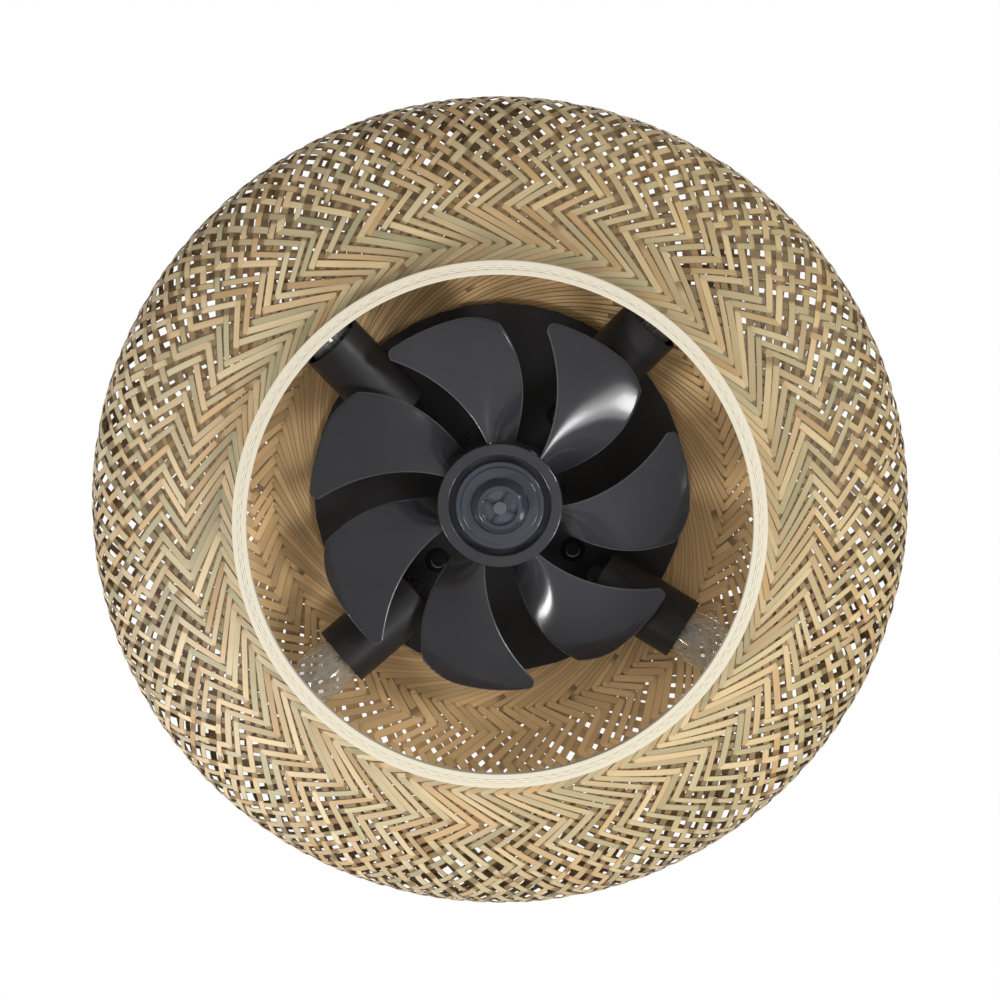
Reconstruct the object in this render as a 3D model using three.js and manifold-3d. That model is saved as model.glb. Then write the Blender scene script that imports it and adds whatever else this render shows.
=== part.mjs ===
// Flush ceiling fan with four lamps inside a round woven bamboo shade.
// Millimetres, +Z up. The origin is the middle of the face that meets the ceiling, and all of it hangs below.

import * as THREE from 'three';
import { mergeVertices } from 'three/addons/utils/BufferGeometryUtils.js';
import Module from 'manifold-3d';

const wasm = await Module();
wasm.setup();

// ---------------------------------------------------------------- driving dimensions

// Clearances
const gap = 0.3;                     // between two pieces that touch
const holeClearance = 0.4;           // round a screw, stud or pin in its hole, on the radius

// Ceiling pan: a spun steel drum with a flanged bottom plate
const panDepth = 70;                 // ceiling to the plate's lower face
const panRadius = 109.5;             // outside of the drum wall
const panSheet = 1.2;
const plateRadius = 119.3;           // edge of the flange that carries the shade
const plateThickness = 2;

// Ceiling bracket: a strap with two turned-down ears inside the pan
const strapWidth = 30;
const strapThickness = 2;
const earDrop = 26;
const earClearance = 1.4;            // ear to drum wall on the centre line
const slotLength = 22;               // slots for the installer's ceiling screws
const slotWidth = 5;
const slotSpacing = 90;
const sideScrewDrop = 14;            // pan side screws, below the ceiling
const sideScrewRadius = 2;
const sideScrewHeadRadius = 4.2;
const sideScrewHeadHeight = 2.6;
const sideScrewLength = 9;
const screwHeadTaper = 0.9;          // outer face of a screw head against its foot

// Controller in the pan
const controllerSize = [76, 38, 26];
const controllerOffset = 76;         // centre, from the fan's axis

// Woven shade: a flattened globe between two pairs of bamboo hoops
const shadeRadius = 250;
const equatorBelowPlate = 71;
const mouthBelowEquator = 72;        // equator to the lower edge of the mouth hoops
const crownRise = 83;                // height of the full profile above the equator
const mouthNeckClearance = 0.87;     // top of the straight neck to the weave's curve
const fullness = 2.5;                // exponent of the profile curve
const shellThickness = 2;
const bandSeams = [-0.48, 0.51];     // shares of the curve's rise where the shell's three bands meet
const bandGap = 0.5;                 // between two bands, in height
const mouthBandRows = [-0.76, -0.63];
const bellyBandRows = [-0.39, -0.2, 0, 0.08, 0.25, 0.42];
const crownBandRows = [0.58, 0.72, 0.75, 0.84];
const windowRows = [                 // openings of the weave, as a plain grid: shares from and to
  [-0.39, 0], [0.08, 0.42], [0.58, 0.72], [0.75, 0.84],
];
const stripBundle = 1.4;             // strips pressed together between two hoops
const mouthRadius = 148.7;           // inside of the inner mouth hoop
const hoopThickness = 3.2;
const mouthHoopHeight = 5;
const mouthNeckHeight = 14;          // lower edge of the mouth hoops to the top of the weave's straight neck
const topHoopHeight = 14;            // of the outer one
const topHoopClearance = 1.3;        // drum wall to the inner top hoop
const outerHoopLift = 0.8;           // weave to the lower edge of the outer top hoop

// Shade clips on the drum wall
const clipCount = 3;
const clipWidth = 14;
const clipThickness = 1.2;
const clipHeight = 20;
const clipStudRise = 12;             // stud above the foot of its clip
const clipStudRadius = 2;
const clipPhase = 30;                // degrees from +X to the first clip

// Lamps: black sleeves on folded brackets, each a little off its square position
const lampSeatRadius = 83;           // inner end of each sleeve, from the fan's axis
const lampSeatAzimuths = [40, 130.5, 220, 308.5];
const lampTurns = [-9, 9.5, 7.5, 5.5];
const lampDip = 10;
const sleeveRadius = 20;
const sleeveLength = 62;
const sleeveSheet = 1.4;
const sleeveToPlate = 1.2;
const bracketSheet = 1.5;
const bracketWidth = 20;
const bracketFoot = 12;
const bracketFootCorner = 5;
const bracketLegCorner = 9;
const nippleRadius = 4.8;
const nippleBore = 3.2;
const nippleTail = 6;                // behind the bracket
const nutRadius = 8;
const nutHeight = 3.6;
const nippleInHolder = 5.5;
const holderLength = 36;
const holderBore = 13.9;
const holderFloor = 8.5;             // back of the holder to the bottom of its socket
const holderClearance = 0.4;
const capRadius = 13.3;
const capSheet = 0.8;
const capLength = 29;
const capShoulderRise = 3.7;         // contact to the full width of the cap
const capWellRise = 9.3;             // contact to the floor inside the cap
const contactRadius = 4;
const contactHeight = 2;
const glassLength = 61;
const glassOutline = [               // radius, and place along the bulb from its neck
  [11.9, 0], [11.9, 12.2], [14.7, 23.2], [17.5, 41.5], [15.05, 52.5], [7.35, 58.6],
];
const glassWall = 1;
const glassInCap = 4;

// Wire grommets in the plate, one for each lamp
const grommetInset = 22;             // from a lamp's seat in towards the fan's axis
const grommetBore = 4.5;
const grommetHole = 6.4;             // hole in the plate
const grommetFlange = 7.8;
const grommetLip = 1.2;

// Motor: two pressed cups bolted to the plate, with a wound stator and a magnet rotor
const motorRadius = 33;
const motorSheet = 1.5;
const motorFlangeRadius = 44;
const motorFlangeThickness = 2;
const motorNoseDepth = 39;           // plate's lower face to the motor's lower end
const motorCapRise = 12;             // upper flange to the motor's upper end
const motorHoleClearance = 0.7;
const motorScrewCount = 3;
const motorScrewCircle = 39.5;
const motorScrewRadius = 1.9;
const motorScrewHeadRadius = 3.4;
const motorScrewHeadHeight = 2.2;
const shaftRadius = 3.7;
const shaftHole = 6;
const shoulderRadius = 5;
const bearingBore = 4;
const bearingRadius = 11;
const bearingWidth = 7;
const bearingSeatWall = 3;
const bearingSeatHeight = 6;
const innerRaceRadius = 5.2;
const outerRaceBore = 9.8;
const ballRadius = 1.985;
const ballCircle = 7.5;
const ballCount = 7;
const cageHeight = 1.6;
const cageWidth = 1.6;
const statorBore = 18;
const statorLength = 22;
const statorSlots = 9;
const slotFloor = 20;
const slotTop = 28.5;
const slotHalfAngle = 10;
const windingRise = 3;
const airGap = 0.6;

// Impeller: seven swept blades on a cupped hub, held by a clear threaded spinner
const bladeCount = 7;
const tipRadius = 117.6;
const hubFaceBelowPlate = 63;
const hubRadius = 38.6;
const hubDepth = 32;
const hubWall = 2.5;
const recessRadius = 31.5;
const recessDepth = 10;
const hubBossRadius = 8;
const hubBossHeight = 8.5;
const boreClearance = 0.3;
const driveSlotDepth = 4;
const drivePinRadius = 1.5;
const drivePinLength = 14;
const bladeThickness = 1.6;
const bladeSeat = 1.2;               // how far a blade root runs into the hub wall
const leadRootAngle = 130.5;         // leading edge at the root, for the first blade
const leadSweep = 15;                // how far the leading edge sweeps back
const leadSweepPower = 1.9;
const trailRootAngle = 103.8;
const trailSweep = 24.7;
const trailSweepPower = 1.05;
const tipRounding = 0.05;            // share of the tip radius taken off at the two corners
const leadRounding = 0.27;           // chord share of the rounded leading corner
const trailRounding = 0.12;
const leadRise = 11;                 // leading edge above the hub face, at the tip
const leadRootRise = 15;             // more of it at the root
const leadRisePower = 1.8;
const trailRootRise = 4;             // trailing edge above the hub face, at the root
const trailTipRise = 0.9;
const camber = 1.7;

// Spinner
const spinnerRadius = 27.3;
const spinnerBevel = 2.8;
const spinnerProud = 0.8;
const gripRootRadius = 17.6;
const gripRadius = 13.2;
const gripHeight = 7.4;
const spinnerBossRadius = 4.6;
const spinnerBossHeight = 1;
const spinnerWall = 2.2;
const spinnerTubeRadius = 5.9;
const threadDepth = 2;               // closed end of the thread

// ---------------------------------------------------------------- levels and places

const plateZ = -panDepth;
const plateTopZ = plateZ + plateThickness;
const equatorZ = plateZ - equatorBelowPlate;
const mouthZ = equatorZ - mouthBelowEquator;
const mouthHoopTopZ = mouthZ + mouthHoopHeight;
const mouthNeckTopZ = mouthZ + mouthNeckHeight;
const hubFaceZ = plateZ - hubFaceBelowPlate;
const motorNoseZ = plateZ - motorNoseDepth;
const lowerFlangeZ = plateTopZ + gap;
const upperFlangeZ = lowerFlangeZ + motorFlangeThickness + gap;
const motorCapZ = upperFlangeZ + motorFlangeThickness + motorCapRise;
const lowerBearingZ = motorNoseZ + motorSheet + gap;
const upperBearingZ = motorCapZ - motorSheet - gap - bearingWidth;
const statorZ = (lowerBearingZ + bearingWidth + upperBearingZ - statorLength) / 2;
const recessFloorZ = hubFaceZ + recessDepth;
const hubBossTopZ = recessFloorZ + hubWall + hubBossHeight;
const drivePinZ = hubBossTopZ - driveSlotDepth / 2;
const lampAxisZ = -(sleeveRadius * Math.cos(radians(lampDip)) + sleeveToPlate);

const panInnerRadius = panRadius - panSheet;
const mouthShellInner = mouthRadius + hoopThickness + gap;
const mouthShellOuter = mouthShellInner + stripBundle;
const mouthOuterHoop = mouthShellOuter + gap;
const mouthTurn = mouthOuterHoop + hoopThickness + 2 * gap;
const bellyShare = (1 - (mouthTurn / shadeRadius) ** fullness) ** (1 / fullness);
const bellyDrop = (mouthBelowEquator - mouthNeckHeight - mouthNeckClearance) / bellyShare;
const topHoopRadius = panRadius + topHoopClearance;
const topShellInner = topHoopRadius + hoopThickness + gap;
const topShellOuter = topShellInner + stripBundle;
const topOuterHoop = topShellOuter + gap;
const topOuterHoopZ = shadeOuterZ(topOuterHoop + hoopThickness) + outerHoopLift;
const topHoopsTopZ = topOuterHoopZ + topHoopHeight;
const topTurn = topOuterHoop + hoopThickness + 2 * gap;
const clipStudZ = topHoopsTopZ + gap + clipStudRise;
const grommetCircle = lampSeatRadius - grommetInset;
const holderRadius = sleeveRadius - sleeveSheet - holderClearance;
const holderBack = sleeveSheet + gap;
const capBack = holderBack + holderFloor + gap;
const glassBack = capBack + capLength - glassInCap;

// Sides of the round pieces, by how large they are
const wide = 40;
const medium = 24;
const narrow = 16;
const small = 12;
const tiny = 10;
const hubSides = 4 * bladeCount;

// ---------------------------------------------------------------- helpers

function radians(degrees) {
  return degrees * Math.PI / 180;
}

// Height of the shade's outer surface at a radius above the equator, on a curve |r/a|^n + |z/b|^n = 1.
function shadeOuterZ(radius) {
  return equatorZ + crownRise * (1 - (radius / shadeRadius) ** fullness) ** (1 / fullness);
}

// Merges shared corners and drops triangles that have collapsed to a line.
function welded(geometry) {
  const bare = geometry.clone();
  bare.deleteAttribute('normal');
  bare.deleteAttribute('uv');
  const merged = mergeVertices(bare, 1e-4);
  const index = merged.index.array;
  const kept = [];
  for (let i = 0; i < index.length; i += 3) {
    const [a, b, c] = index.slice(i, i + 3);
    if (a !== b && b !== c && c !== a) kept.push(a, b, c);
  }
  merged.setIndex(kept);
  return merged;
}

// A solid of revolution about Z from rows of [radius, height], closed on itself or on the axis.
function turned(rows, sides) {
  const points = rows.map(([radius, height]) => new THREE.Vector2(radius, height));
  if (rows[0][0] > 0) points.push(points[0].clone());
  const lathe = new THREE.LatheGeometry(points, sides);
  lathe.rotateX(Math.PI / 2);
  return welded(lathe);
}

function ring(innerRadius, outerRadius, low, high, sides) {
  return turned([[innerRadius, low], [outerRadius, low], [outerRadius, high], [innerRadius, high]], sides);
}

function disc(radius, low, high, sides) {
  return turned([[0, low], [radius, low], [radius, high], [0, high]], sides);
}

function box(size, centre) {
  return welded(new THREE.BoxGeometry(...size).translate(...centre));
}

// A flat plate of the given outline in XY, from one height to another.
function plate(shape, low, high, curveSegments = 3) {
  const depth = high - low;
  const extruded = new THREE.ExtrudeGeometry(shape, { depth, bevelEnabled: false, curveSegments });
  return welded(extruded.translate(0, 0, low));
}

function manifold(geometry) {
  const vertProperties = Float32Array.from(geometry.attributes.position.array);
  const triVerts = Uint32Array.from(geometry.index.array);
  return new wasm.Manifold(new wasm.Mesh({ numProp: 3, vertProperties, triVerts }));
}

function fromManifold(solid) {
  const { vertProperties, triVerts } = solid.getMesh();
  const geometry = new THREE.BufferGeometry();
  geometry.setAttribute('position', new THREE.BufferAttribute(vertProperties, 3));
  geometry.setIndex(new THREE.BufferAttribute(triVerts, 1));
  return geometry;
}

function joined(first, ...others) {
  return fromManifold(others.reduce((solid, other) => solid.add(manifold(other)), manifold(first)));
}

function cut(first, ...others) {
  return fromManifold(others.reduce((solid, other) => solid.subtract(manifold(other)), manifold(first)));
}

function aboutZ(geometry, angle) {
  return geometry.clone().rotateZ(angle);
}

// Turns a shape made along +Z so that it lies along +X.
function alongX(geometry) {
  return geometry.clone().rotateY(Math.PI / 2);
}

function around(count, make) {
  return Array.from({ length: count }, (_, i) => make(i * 2 * Math.PI / count, i));
}

function finish(color, roughness, metalness = 0) {
  return new THREE.MeshStandardMaterial({ color, roughness, metalness, flatShading: true });
}

const fan = new THREE.Group();

function piece(name, geometry, material, parent = fan) {
  geometry.computeVertexNormals();
  const mesh = new THREE.Mesh(geometry, material);
  mesh.name = name;
  parent.add(mesh);
  return mesh;
}

const blackPaint = finish(0x1e1917, 0.5);
const zinc = finish(0xb9bcc0, 0.35, 1);
const brightSteel = finish(0xd0d2d4, 0.25, 1);
const bamboo = finish(0xa98a5b, 0.7);
const paleBamboo = finish(0xe0d6bf, 0.65);
const smokedPlastic = finish(0x3c3d41, 0.15);
const clearPlastic = finish(0x59606c, 0.08);
const blackPlastic = finish(0x202022, 0.55);
const whitePlastic = finish(0xdedcd4, 0.5);
const copper = finish(0xb5652d, 0.35, 1);
const magnet = finish(0x3a3a3d, 0.6, 0.4);
const glass = finish(0xeef2f2, 0.03);
const blackRubber = finish(0x151515, 0.8);

// ---------------------------------------------------------------- ceiling bracket and pan

function ceilingBracket() {
  const half = panInnerRadius - earClearance;
  const strap = box([2 * half, strapWidth, strapThickness], [0, 0, -strapThickness / 2]);
  const ears = [-1, 1].map((side) => {
    const x = side * (half - strapThickness / 2);
    const ear = box([strapThickness, strapWidth, earDrop], [x, 0, -earDrop / 2]);
    const hole = alongX(disc(sideScrewRadius + holeClearance, -earDrop / 2, earDrop / 2, small));
    return cut(ear, hole.translate(x, 0, -sideScrewDrop));
  });
  const slots = [-1, 1].map((side) => {
    const middle = [side * slotSpacing / 2, 0, -strapThickness / 2];
    return box([slotLength, slotWidth, 2 * strapThickness], middle);
  });
  return cut(joined(strap, ...ears), ...slots);
}

function basePan() {
  const motorHole = motorRadius + motorHoleClearance;
  const drum = turned([
    [motorHole, plateZ], [plateRadius, plateZ], [plateRadius, plateTopZ], [panRadius, plateTopZ],
    [panRadius, 0], [panInnerRadius, 0], [panInnerRadius, plateTopZ], [motorHole, plateTopZ],
  ], wide);
  const through = [plateZ - plateThickness, plateTopZ + plateThickness];
  const wireHole = disc(grommetHole, ...through, tiny).translate(grommetCircle, 0, 0);
  const wireHoles = lampSeatAzimuths.map((azimuth) => aboutZ(wireHole, radians(azimuth)));
  const screwHole = disc(motorScrewRadius + holeClearance, ...through, tiny);
  screwHole.translate(motorScrewCircle, 0, 0);
  const screwHoles = around(motorScrewCount, (angle) => aboutZ(screwHole, angle));
  const wall = [panInnerRadius - 2 * panSheet, panRadius + 2 * panSheet];
  const sideHole = alongX(disc(sideScrewRadius + holeClearance, ...wall, tiny));
  sideHole.translate(0, 0, -sideScrewDrop);
  const sideHoles = around(2, (angle) => aboutZ(sideHole, angle));
  const studHole = alongX(disc(clipStudRadius + holeClearance, ...wall, tiny)).translate(0, 0, clipStudZ);
  const studHoles = around(clipCount, (angle) => aboutZ(studHole, angle + radians(clipPhase)));
  return cut(drum, ...wireHoles, ...screwHoles, ...sideHoles, ...studHoles);
}

// A pan-head screw along +Z: its head's outer face is at 0 and its shank runs to minus its length.
function screw(shankRadius, headRadius, headHeight, length) {
  return turned([
    [0, -length], [shankRadius, -length], [shankRadius, -headHeight],
    [headRadius, -headHeight], [headRadius * screwHeadTaper, 0], [0, 0],
  ], tiny);
}

piece('ceiling_bracket', ceilingBracket(), zinc);
const controllerZ = plateTopZ + gap + controllerSize[2] / 2;
piece('controller_box', box(controllerSize, [0, controllerOffset, controllerZ]), whitePlastic);

const sideScrewOut = panRadius + gap + sideScrewHeadHeight;
around(2, (angle, i) => {
  const shape = screw(sideScrewRadius, sideScrewHeadRadius, sideScrewHeadHeight, sideScrewLength);
  const placed = alongX(shape).translate(sideScrewOut, 0, -sideScrewDrop);
  piece(`pan_side_screw_${i + 1}`, aboutZ(placed, angle), brightSteel);
});

// ---------------------------------------------------------------- shade clips

// A folded clip on the drum wall whose lower leg holds the top hoops down on the flange.
function shadeClip() {
  const back = panRadius + gap;
  const reach = topOuterHoop + hoopThickness - back;
  const legZ = topHoopsTopZ + gap;
  const uprightMiddle = [back + clipThickness / 2, 0, legZ + clipHeight / 2];
  const upright = box([clipThickness, clipWidth, clipHeight], uprightMiddle);
  const leg = box([reach, clipWidth, clipThickness], [back + reach / 2, 0, legZ + clipThickness / 2]);
  const stud = alongX(disc(clipStudRadius, panInnerRadius - panSheet, back + clipThickness / 2, tiny));
  return joined(upright, leg, stud.translate(0, 0, clipStudZ));
}

piece('base_pan', basePan(), blackPaint);
around(clipCount, (angle, i) => {
  piece(`shade_clip_${i + 1}`, aboutZ(shadeClip(), angle + radians(clipPhase)), blackPaint);
});

// ---------------------------------------------------------------- woven shade and hoops

// A row of the shell at a share of the curve's rise, below the equator where it is negative: a point of
// the curve |r/a|^n + |z/b|^n = 1 and the one inside it, as [radius, height].
function shellRow(share, lift = 0) {
  const rise = share < 0 ? bellyDrop : crownRise;
  const radius = shadeRadius * (1 - Math.abs(share) ** fullness) ** (1 / fullness);
  const height = share * rise + lift;
  return {
    share,
    outer: [radius, equatorZ + height],
    inner: [radius * (1 - shellThickness / shadeRadius), equatorZ + height * (1 - shellThickness / rise)],
  };
}

// The straight neck between two hoops, beside the row where the curve turns into it.
function neckRows(turn, outerRadius, innerRadius, corner, end) {
  return [
    { outer: [outerRadius, corner], inner: [innerRadius, turn.inner[1]] },
    { outer: [outerRadius, end], inner: [innerRadius, end] },
  ];
}

// A closed band from one row up to the next. In a row of windows every second facet is left open.
function shadeBand(rows) {
  const skins = ['outer', 'inner'].map((skin) => rows.map((row) => around(wide, (angle) => {
    const [radius, height] = row[skin];
    return [radius * Math.cos(angle), radius * Math.sin(angle), height];
  })));
  const faces = [];
  const corner = (skin, row, side) => (skin * rows.length + row) * wide + (side + wide) % wide;
  const quad = (a, b, c, d) => faces.push(a, b, c, a, c, d);
  const isOpen = (row, side) => {
    const course = windowRows.findIndex(([from, to]) => rows[row]?.share >= from && rows[row].share < to);
    return course >= 0 && (side + wide + course) % 2 === 0;
  };
  const cell = (row, side) => {
    const round = [[row, side], [row, side + 1], [row + 1, side + 1], [row + 1, side]];
    const beyond = [[row - 1, side], [row, side + 1], [row + 1, side], [row, side - 1]];
    if (!isOpen(row, side)) {
      quad(...round.map((place) => corner(0, ...place)));
      quad(...round.map((place) => corner(1, ...place)).reverse());
      return;
    }
    round.forEach((from, i) => {
      const to = round[(i + 1) % round.length];
      if (isOpen(...beyond[i])) return;
      quad(corner(0, ...from), corner(0, ...to), corner(1, ...to), corner(1, ...from));
    });
  };
  const top = rows.length - 1;
  for (let side = 0; side < wide; side += 1) {
    quad(corner(0, 0, side), corner(1, 0, side), corner(1, 0, side + 1), corner(0, 0, side + 1));
    quad(corner(0, top, side), corner(0, top, side + 1), corner(1, top, side + 1), corner(1, top, side));
    for (let row = 0; row < top; row += 1) cell(row, side);
  }
  const band = new THREE.BufferGeometry();
  band.setAttribute('position', new THREE.Float32BufferAttribute(skins.flat(3), 3));
  band.setIndex(faces);
  return band;
}

function hoop(innerRadius, low, high) {
  return ring(innerRadius, innerRadius + hoopThickness, low, high, wide);
}

const [lowSeam, highSeam] = bandSeams;
const mouthTurnRow = shellRow(-bellyShare);
const topTurnRow = shellRow((shadeOuterZ(topTurn) - equatorZ) / crownRise);
const mouthNeck = neckRows(
  mouthTurnRow, mouthShellOuter, mouthShellInner, mouthNeckTopZ + gap, mouthZ + gap,
);
const topNeck = neckRows(topTurnRow, topShellOuter, topShellInner, topOuterHoopZ, topHoopsTopZ - gap);
const mouthBand = [
  ...mouthNeck.reverse(), mouthTurnRow, ...mouthBandRows.map((share) => shellRow(share)),
  shellRow(lowSeam, -bandGap / 2),
];
const bellyBand = [
  shellRow(lowSeam, bandGap / 2), ...bellyBandRows.map((share) => shellRow(share)),
  shellRow(highSeam, -bandGap / 2),
];
const crownBand = [
  shellRow(highSeam, bandGap / 2), ...crownBandRows.map((share) => shellRow(share)), topTurnRow, ...topNeck,
];
piece('shade_mouth_band', shadeBand(mouthBand), bamboo);
piece('shade_belly_band', shadeBand(bellyBand), bamboo);
piece('shade_crown_band', shadeBand(crownBand), bamboo);
piece('mouth_hoop_inner', hoop(mouthRadius, mouthZ, mouthHoopTopZ), paleBamboo);
piece('mouth_hoop_outer', hoop(mouthOuterHoop, mouthZ, mouthHoopTopZ), paleBamboo);
piece('top_hoop_inner', hoop(topHoopRadius, plateTopZ + gap, topHoopsTopZ), paleBamboo);
piece('top_hoop_outer', hoop(topOuterHoop, topOuterHoopZ, topHoopsTopZ), paleBamboo);

// ---------------------------------------------------------------- lamps

function roundedTab(left, right, halfWidth, corner) {
  const tab = new THREE.Shape();
  tab.moveTo(right, -halfWidth);
  tab.lineTo(right, halfWidth);
  tab.lineTo(left + corner, halfWidth);
  tab.absarc(left + corner, halfWidth - corner, corner, Math.PI / 2, Math.PI, false);
  tab.absarc(left + corner, corner - halfWidth, corner, Math.PI, 1.5 * Math.PI, false);
  tab.closePath();
  return tab;
}

// Foot flat on the plate, and a leg folded down square to the sleeve, with a hole for the threaded tube.
// Its frame is the lamp seat's: 0 is the plate's lower face over the sleeve's inner end.
function lampBracket() {
  const half = bracketWidth / 2;
  const dip = radians(lampDip);
  const bend = (-lampAxisZ - gap - bracketSheet) * Math.tan(dip) - gap;
  const foot = plate(roundedTab(-bracketFoot, bend, half, bracketFootCorner), -gap - bracketSheet, -gap);
  const legLength = (-lampAxisZ - gap - bracketSheet / 2) / Math.cos(dip);
  const leg = plate(roundedTab(-half, legLength, half, bracketLegCorner), gap, gap + bracketSheet);
  const hole = alongX(disc(nippleRadius + holeClearance, -half, half, small));
  const drilled = cut(leg.rotateY(-Math.PI / 2), hole);
  return joined(foot, drilled.rotateY(dip).translate(0, 0, lampAxisZ));
}

function lampSleeve() {
  const bore = nippleRadius + holeClearance;
  return turned([
    [bore, 0], [sleeveRadius, 0], [sleeveRadius, sleeveLength], [sleeveRadius - sleeveSheet, sleeveLength],
    [sleeveRadius - sleeveSheet, sleeveSheet], [bore, sleeveSheet],
  ], medium);
}

// A threaded tube with its nut behind the bracket.
function nipple() {
  const tail = -gap - bracketSheet - nippleTail;
  const nut = -2 * gap - bracketSheet;
  return turned([
    [nippleBore, tail], [nippleRadius, tail], [nippleRadius, nut - nutHeight], [nutRadius, nut - nutHeight],
    [nutRadius, nut], [nippleRadius, nut], [nippleRadius, holderBack + nippleInHolder],
    [nippleBore, holderBack + nippleInHolder],
  ], tiny);
}

function lampholder() {
  const back = holderBack;
  const hole = nippleRadius + holeClearance;
  const blind = back + nippleInHolder + gap;
  return turned([
    [0, blind], [hole, blind], [hole, back], [holderRadius, back],
    [holderRadius, back + holderLength], [holderBore, back + holderLength], [holderBore, back + holderFloor],
    [0, back + holderFloor],
  ], small);
}

function bulbCap() {
  const shoulder = capBack + contactHeight;
  const end = capBack + capLength;
  return turned([
    [0, capBack], [contactRadius, capBack], [contactRadius, shoulder],
    [capRadius, shoulder + capShoulderRise],
    [capRadius, end], [capRadius - capSheet, end], [capRadius - capSheet, shoulder + capWellRise],
    [0, shoulder + capWellRise],
  ], small);
}

// Blown glass: a straight neck, a slow swell and a round end, with the inside set in by the wall.
function bulbGlass() {
  const outside = glassOutline.map(([radius, place]) => [radius, glassBack + place]);
  const inside = glassOutline.map(([radius, place]) => [
    radius - glassWall,
    glassBack + place - (place > 0 ? glassWall / 2 : 0),
  ]);
  const tip = glassBack + glassLength;
  return turned([[0, tip - glassWall], ...inside.reverse(), ...outside, [0, tip]], small);
}

lampSeatAzimuths.forEach((azimuth, i) => {
  const number = i + 1;
  const seat = new THREE.Group();
  const angle = radians(azimuth);
  seat.position.set(lampSeatRadius * Math.cos(angle), lampSeatRadius * Math.sin(angle), plateZ);
  seat.rotation.z = angle + radians(lampTurns[i]);
  const arm = new THREE.Group();
  arm.position.z = lampAxisZ;
  arm.rotation.y = radians(lampDip);
  seat.add(arm);
  fan.add(seat);
  piece(`lamp_bracket_${number}`, lampBracket(), blackPaint, seat);
  piece(`lamp_nipple_${number}`, alongX(nipple()), blackPaint, arm);
  piece(`lamp_sleeve_${number}`, alongX(lampSleeve()), blackPaint, arm);
  piece(`lampholder_${number}`, alongX(lampholder()), whitePlastic, arm);
  piece(`bulb_cap_${number}`, alongX(bulbCap()), brightSteel, arm);
  piece(`bulb_glass_${number}`, alongX(bulbGlass()), glass, arm);
});

// A grommet sits in its hole with a lip above and below the plate.
function grommet() {
  const body = grommetHole - gap;
  const low = plateZ - gap;
  const high = plateTopZ + gap;
  return turned([
    [grommetBore, low - grommetLip], [grommetFlange, low - grommetLip], [grommetFlange, low], [body, low],
    [body, high], [grommetFlange, high], [grommetFlange, high + grommetLip], [grommetBore, high + grommetLip],
  ], tiny).translate(grommetCircle, 0, 0);
}

lampSeatAzimuths.forEach((azimuth, i) => {
  piece(`wire_grommet_${i + 1}`, aboutZ(grommet(), radians(azimuth)), blackRubber);
});

// ---------------------------------------------------------------- motor

function motorHousingLower() {
  const inside = motorRadius - motorSheet;
  const floor = motorNoseZ + motorSheet;
  const flangeTop = lowerFlangeZ + motorFlangeThickness;
  const seat = bearingRadius + gap;
  const cup = turned([
    [shaftHole, motorNoseZ], [motorRadius, motorNoseZ], [motorRadius, lowerFlangeZ],
    [motorFlangeRadius, lowerFlangeZ], [motorFlangeRadius, flangeTop], [inside, flangeTop], [inside, floor],
    [seat + bearingSeatWall, floor], [seat + bearingSeatWall, floor + bearingSeatHeight],
    [seat, floor + bearingSeatHeight], [seat, floor], [shaftHole, floor],
  ], medium);
  return cut(cup, ...motorScrewHoles());
}

function motorHousingUpper() {
  const inside = motorRadius - motorSheet;
  const roof = motorCapZ - motorSheet;
  const flangeTop = upperFlangeZ + motorFlangeThickness;
  const seat = bearingRadius + gap;
  const cup = turned([
    [0, roof], [seat, roof], [seat, roof - bearingSeatHeight],
    [seat + bearingSeatWall, roof - bearingSeatHeight], [seat + bearingSeatWall, roof], [inside, roof],
    [inside, upperFlangeZ], [motorFlangeRadius, upperFlangeZ],
    [motorFlangeRadius, flangeTop], [motorRadius, flangeTop], [motorRadius, motorCapZ], [0, motorCapZ],
  ], medium);
  return cut(cup, ...motorScrewHoles());
}

function motorScrewHoles() {
  const hole = disc(motorScrewRadius + holeClearance, plateZ, motorCapZ, tiny);
  hole.translate(motorScrewCircle, 0, 0);
  return around(motorScrewCount, (angle) => aboutZ(hole, angle));
}

// One slot of the stator, as a four-cornered cell between two radii, drawn in by a margin.
function slotCell(angle, margin) {
  const floor = slotFloor + margin;
  const top = slotTop - margin;
  const cell = [[floor, 1], [top, 1], [top, -1], [floor, -1]];
  return cell.map(([radius, side]) => {
    const turn = angle + side * (radians(slotHalfAngle) - margin / radius);
    return new THREE.Vector2(radius * Math.cos(turn), radius * Math.sin(turn));
  });
}

function statorCore() {
  const outline = new THREE.Shape();
  outline.absarc(0, 0, motorRadius - motorSheet - gap, 0, 2 * Math.PI, false);
  const bore = new THREE.Path();
  bore.absarc(0, 0, statorBore, 0, 2 * Math.PI, true);
  outline.holes.push(bore, ...around(statorSlots, (angle) => new THREE.Path(slotCell(angle, 0))));
  return plate(outline, statorZ, statorZ + statorLength, medium);
}

// Copper in the slots, joined by the end turns above and below the core.
function statorWindings() {
  const low = statorZ - gap - windingRise;
  const high = statorZ + statorLength + gap + windingRise;
  const ends = [[low, low + windingRise], [high - windingRise, high]].map(([bottom, top]) =>
    ring(slotFloor + gap, slotTop - gap, bottom, top, medium));
  const bars = around(statorSlots, (angle) =>
    plate(new THREE.Shape(slotCell(angle, 2 * gap)), low + windingRise / 2, high - windingRise / 2));
  return joined(...ends, ...bars);
}

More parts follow.
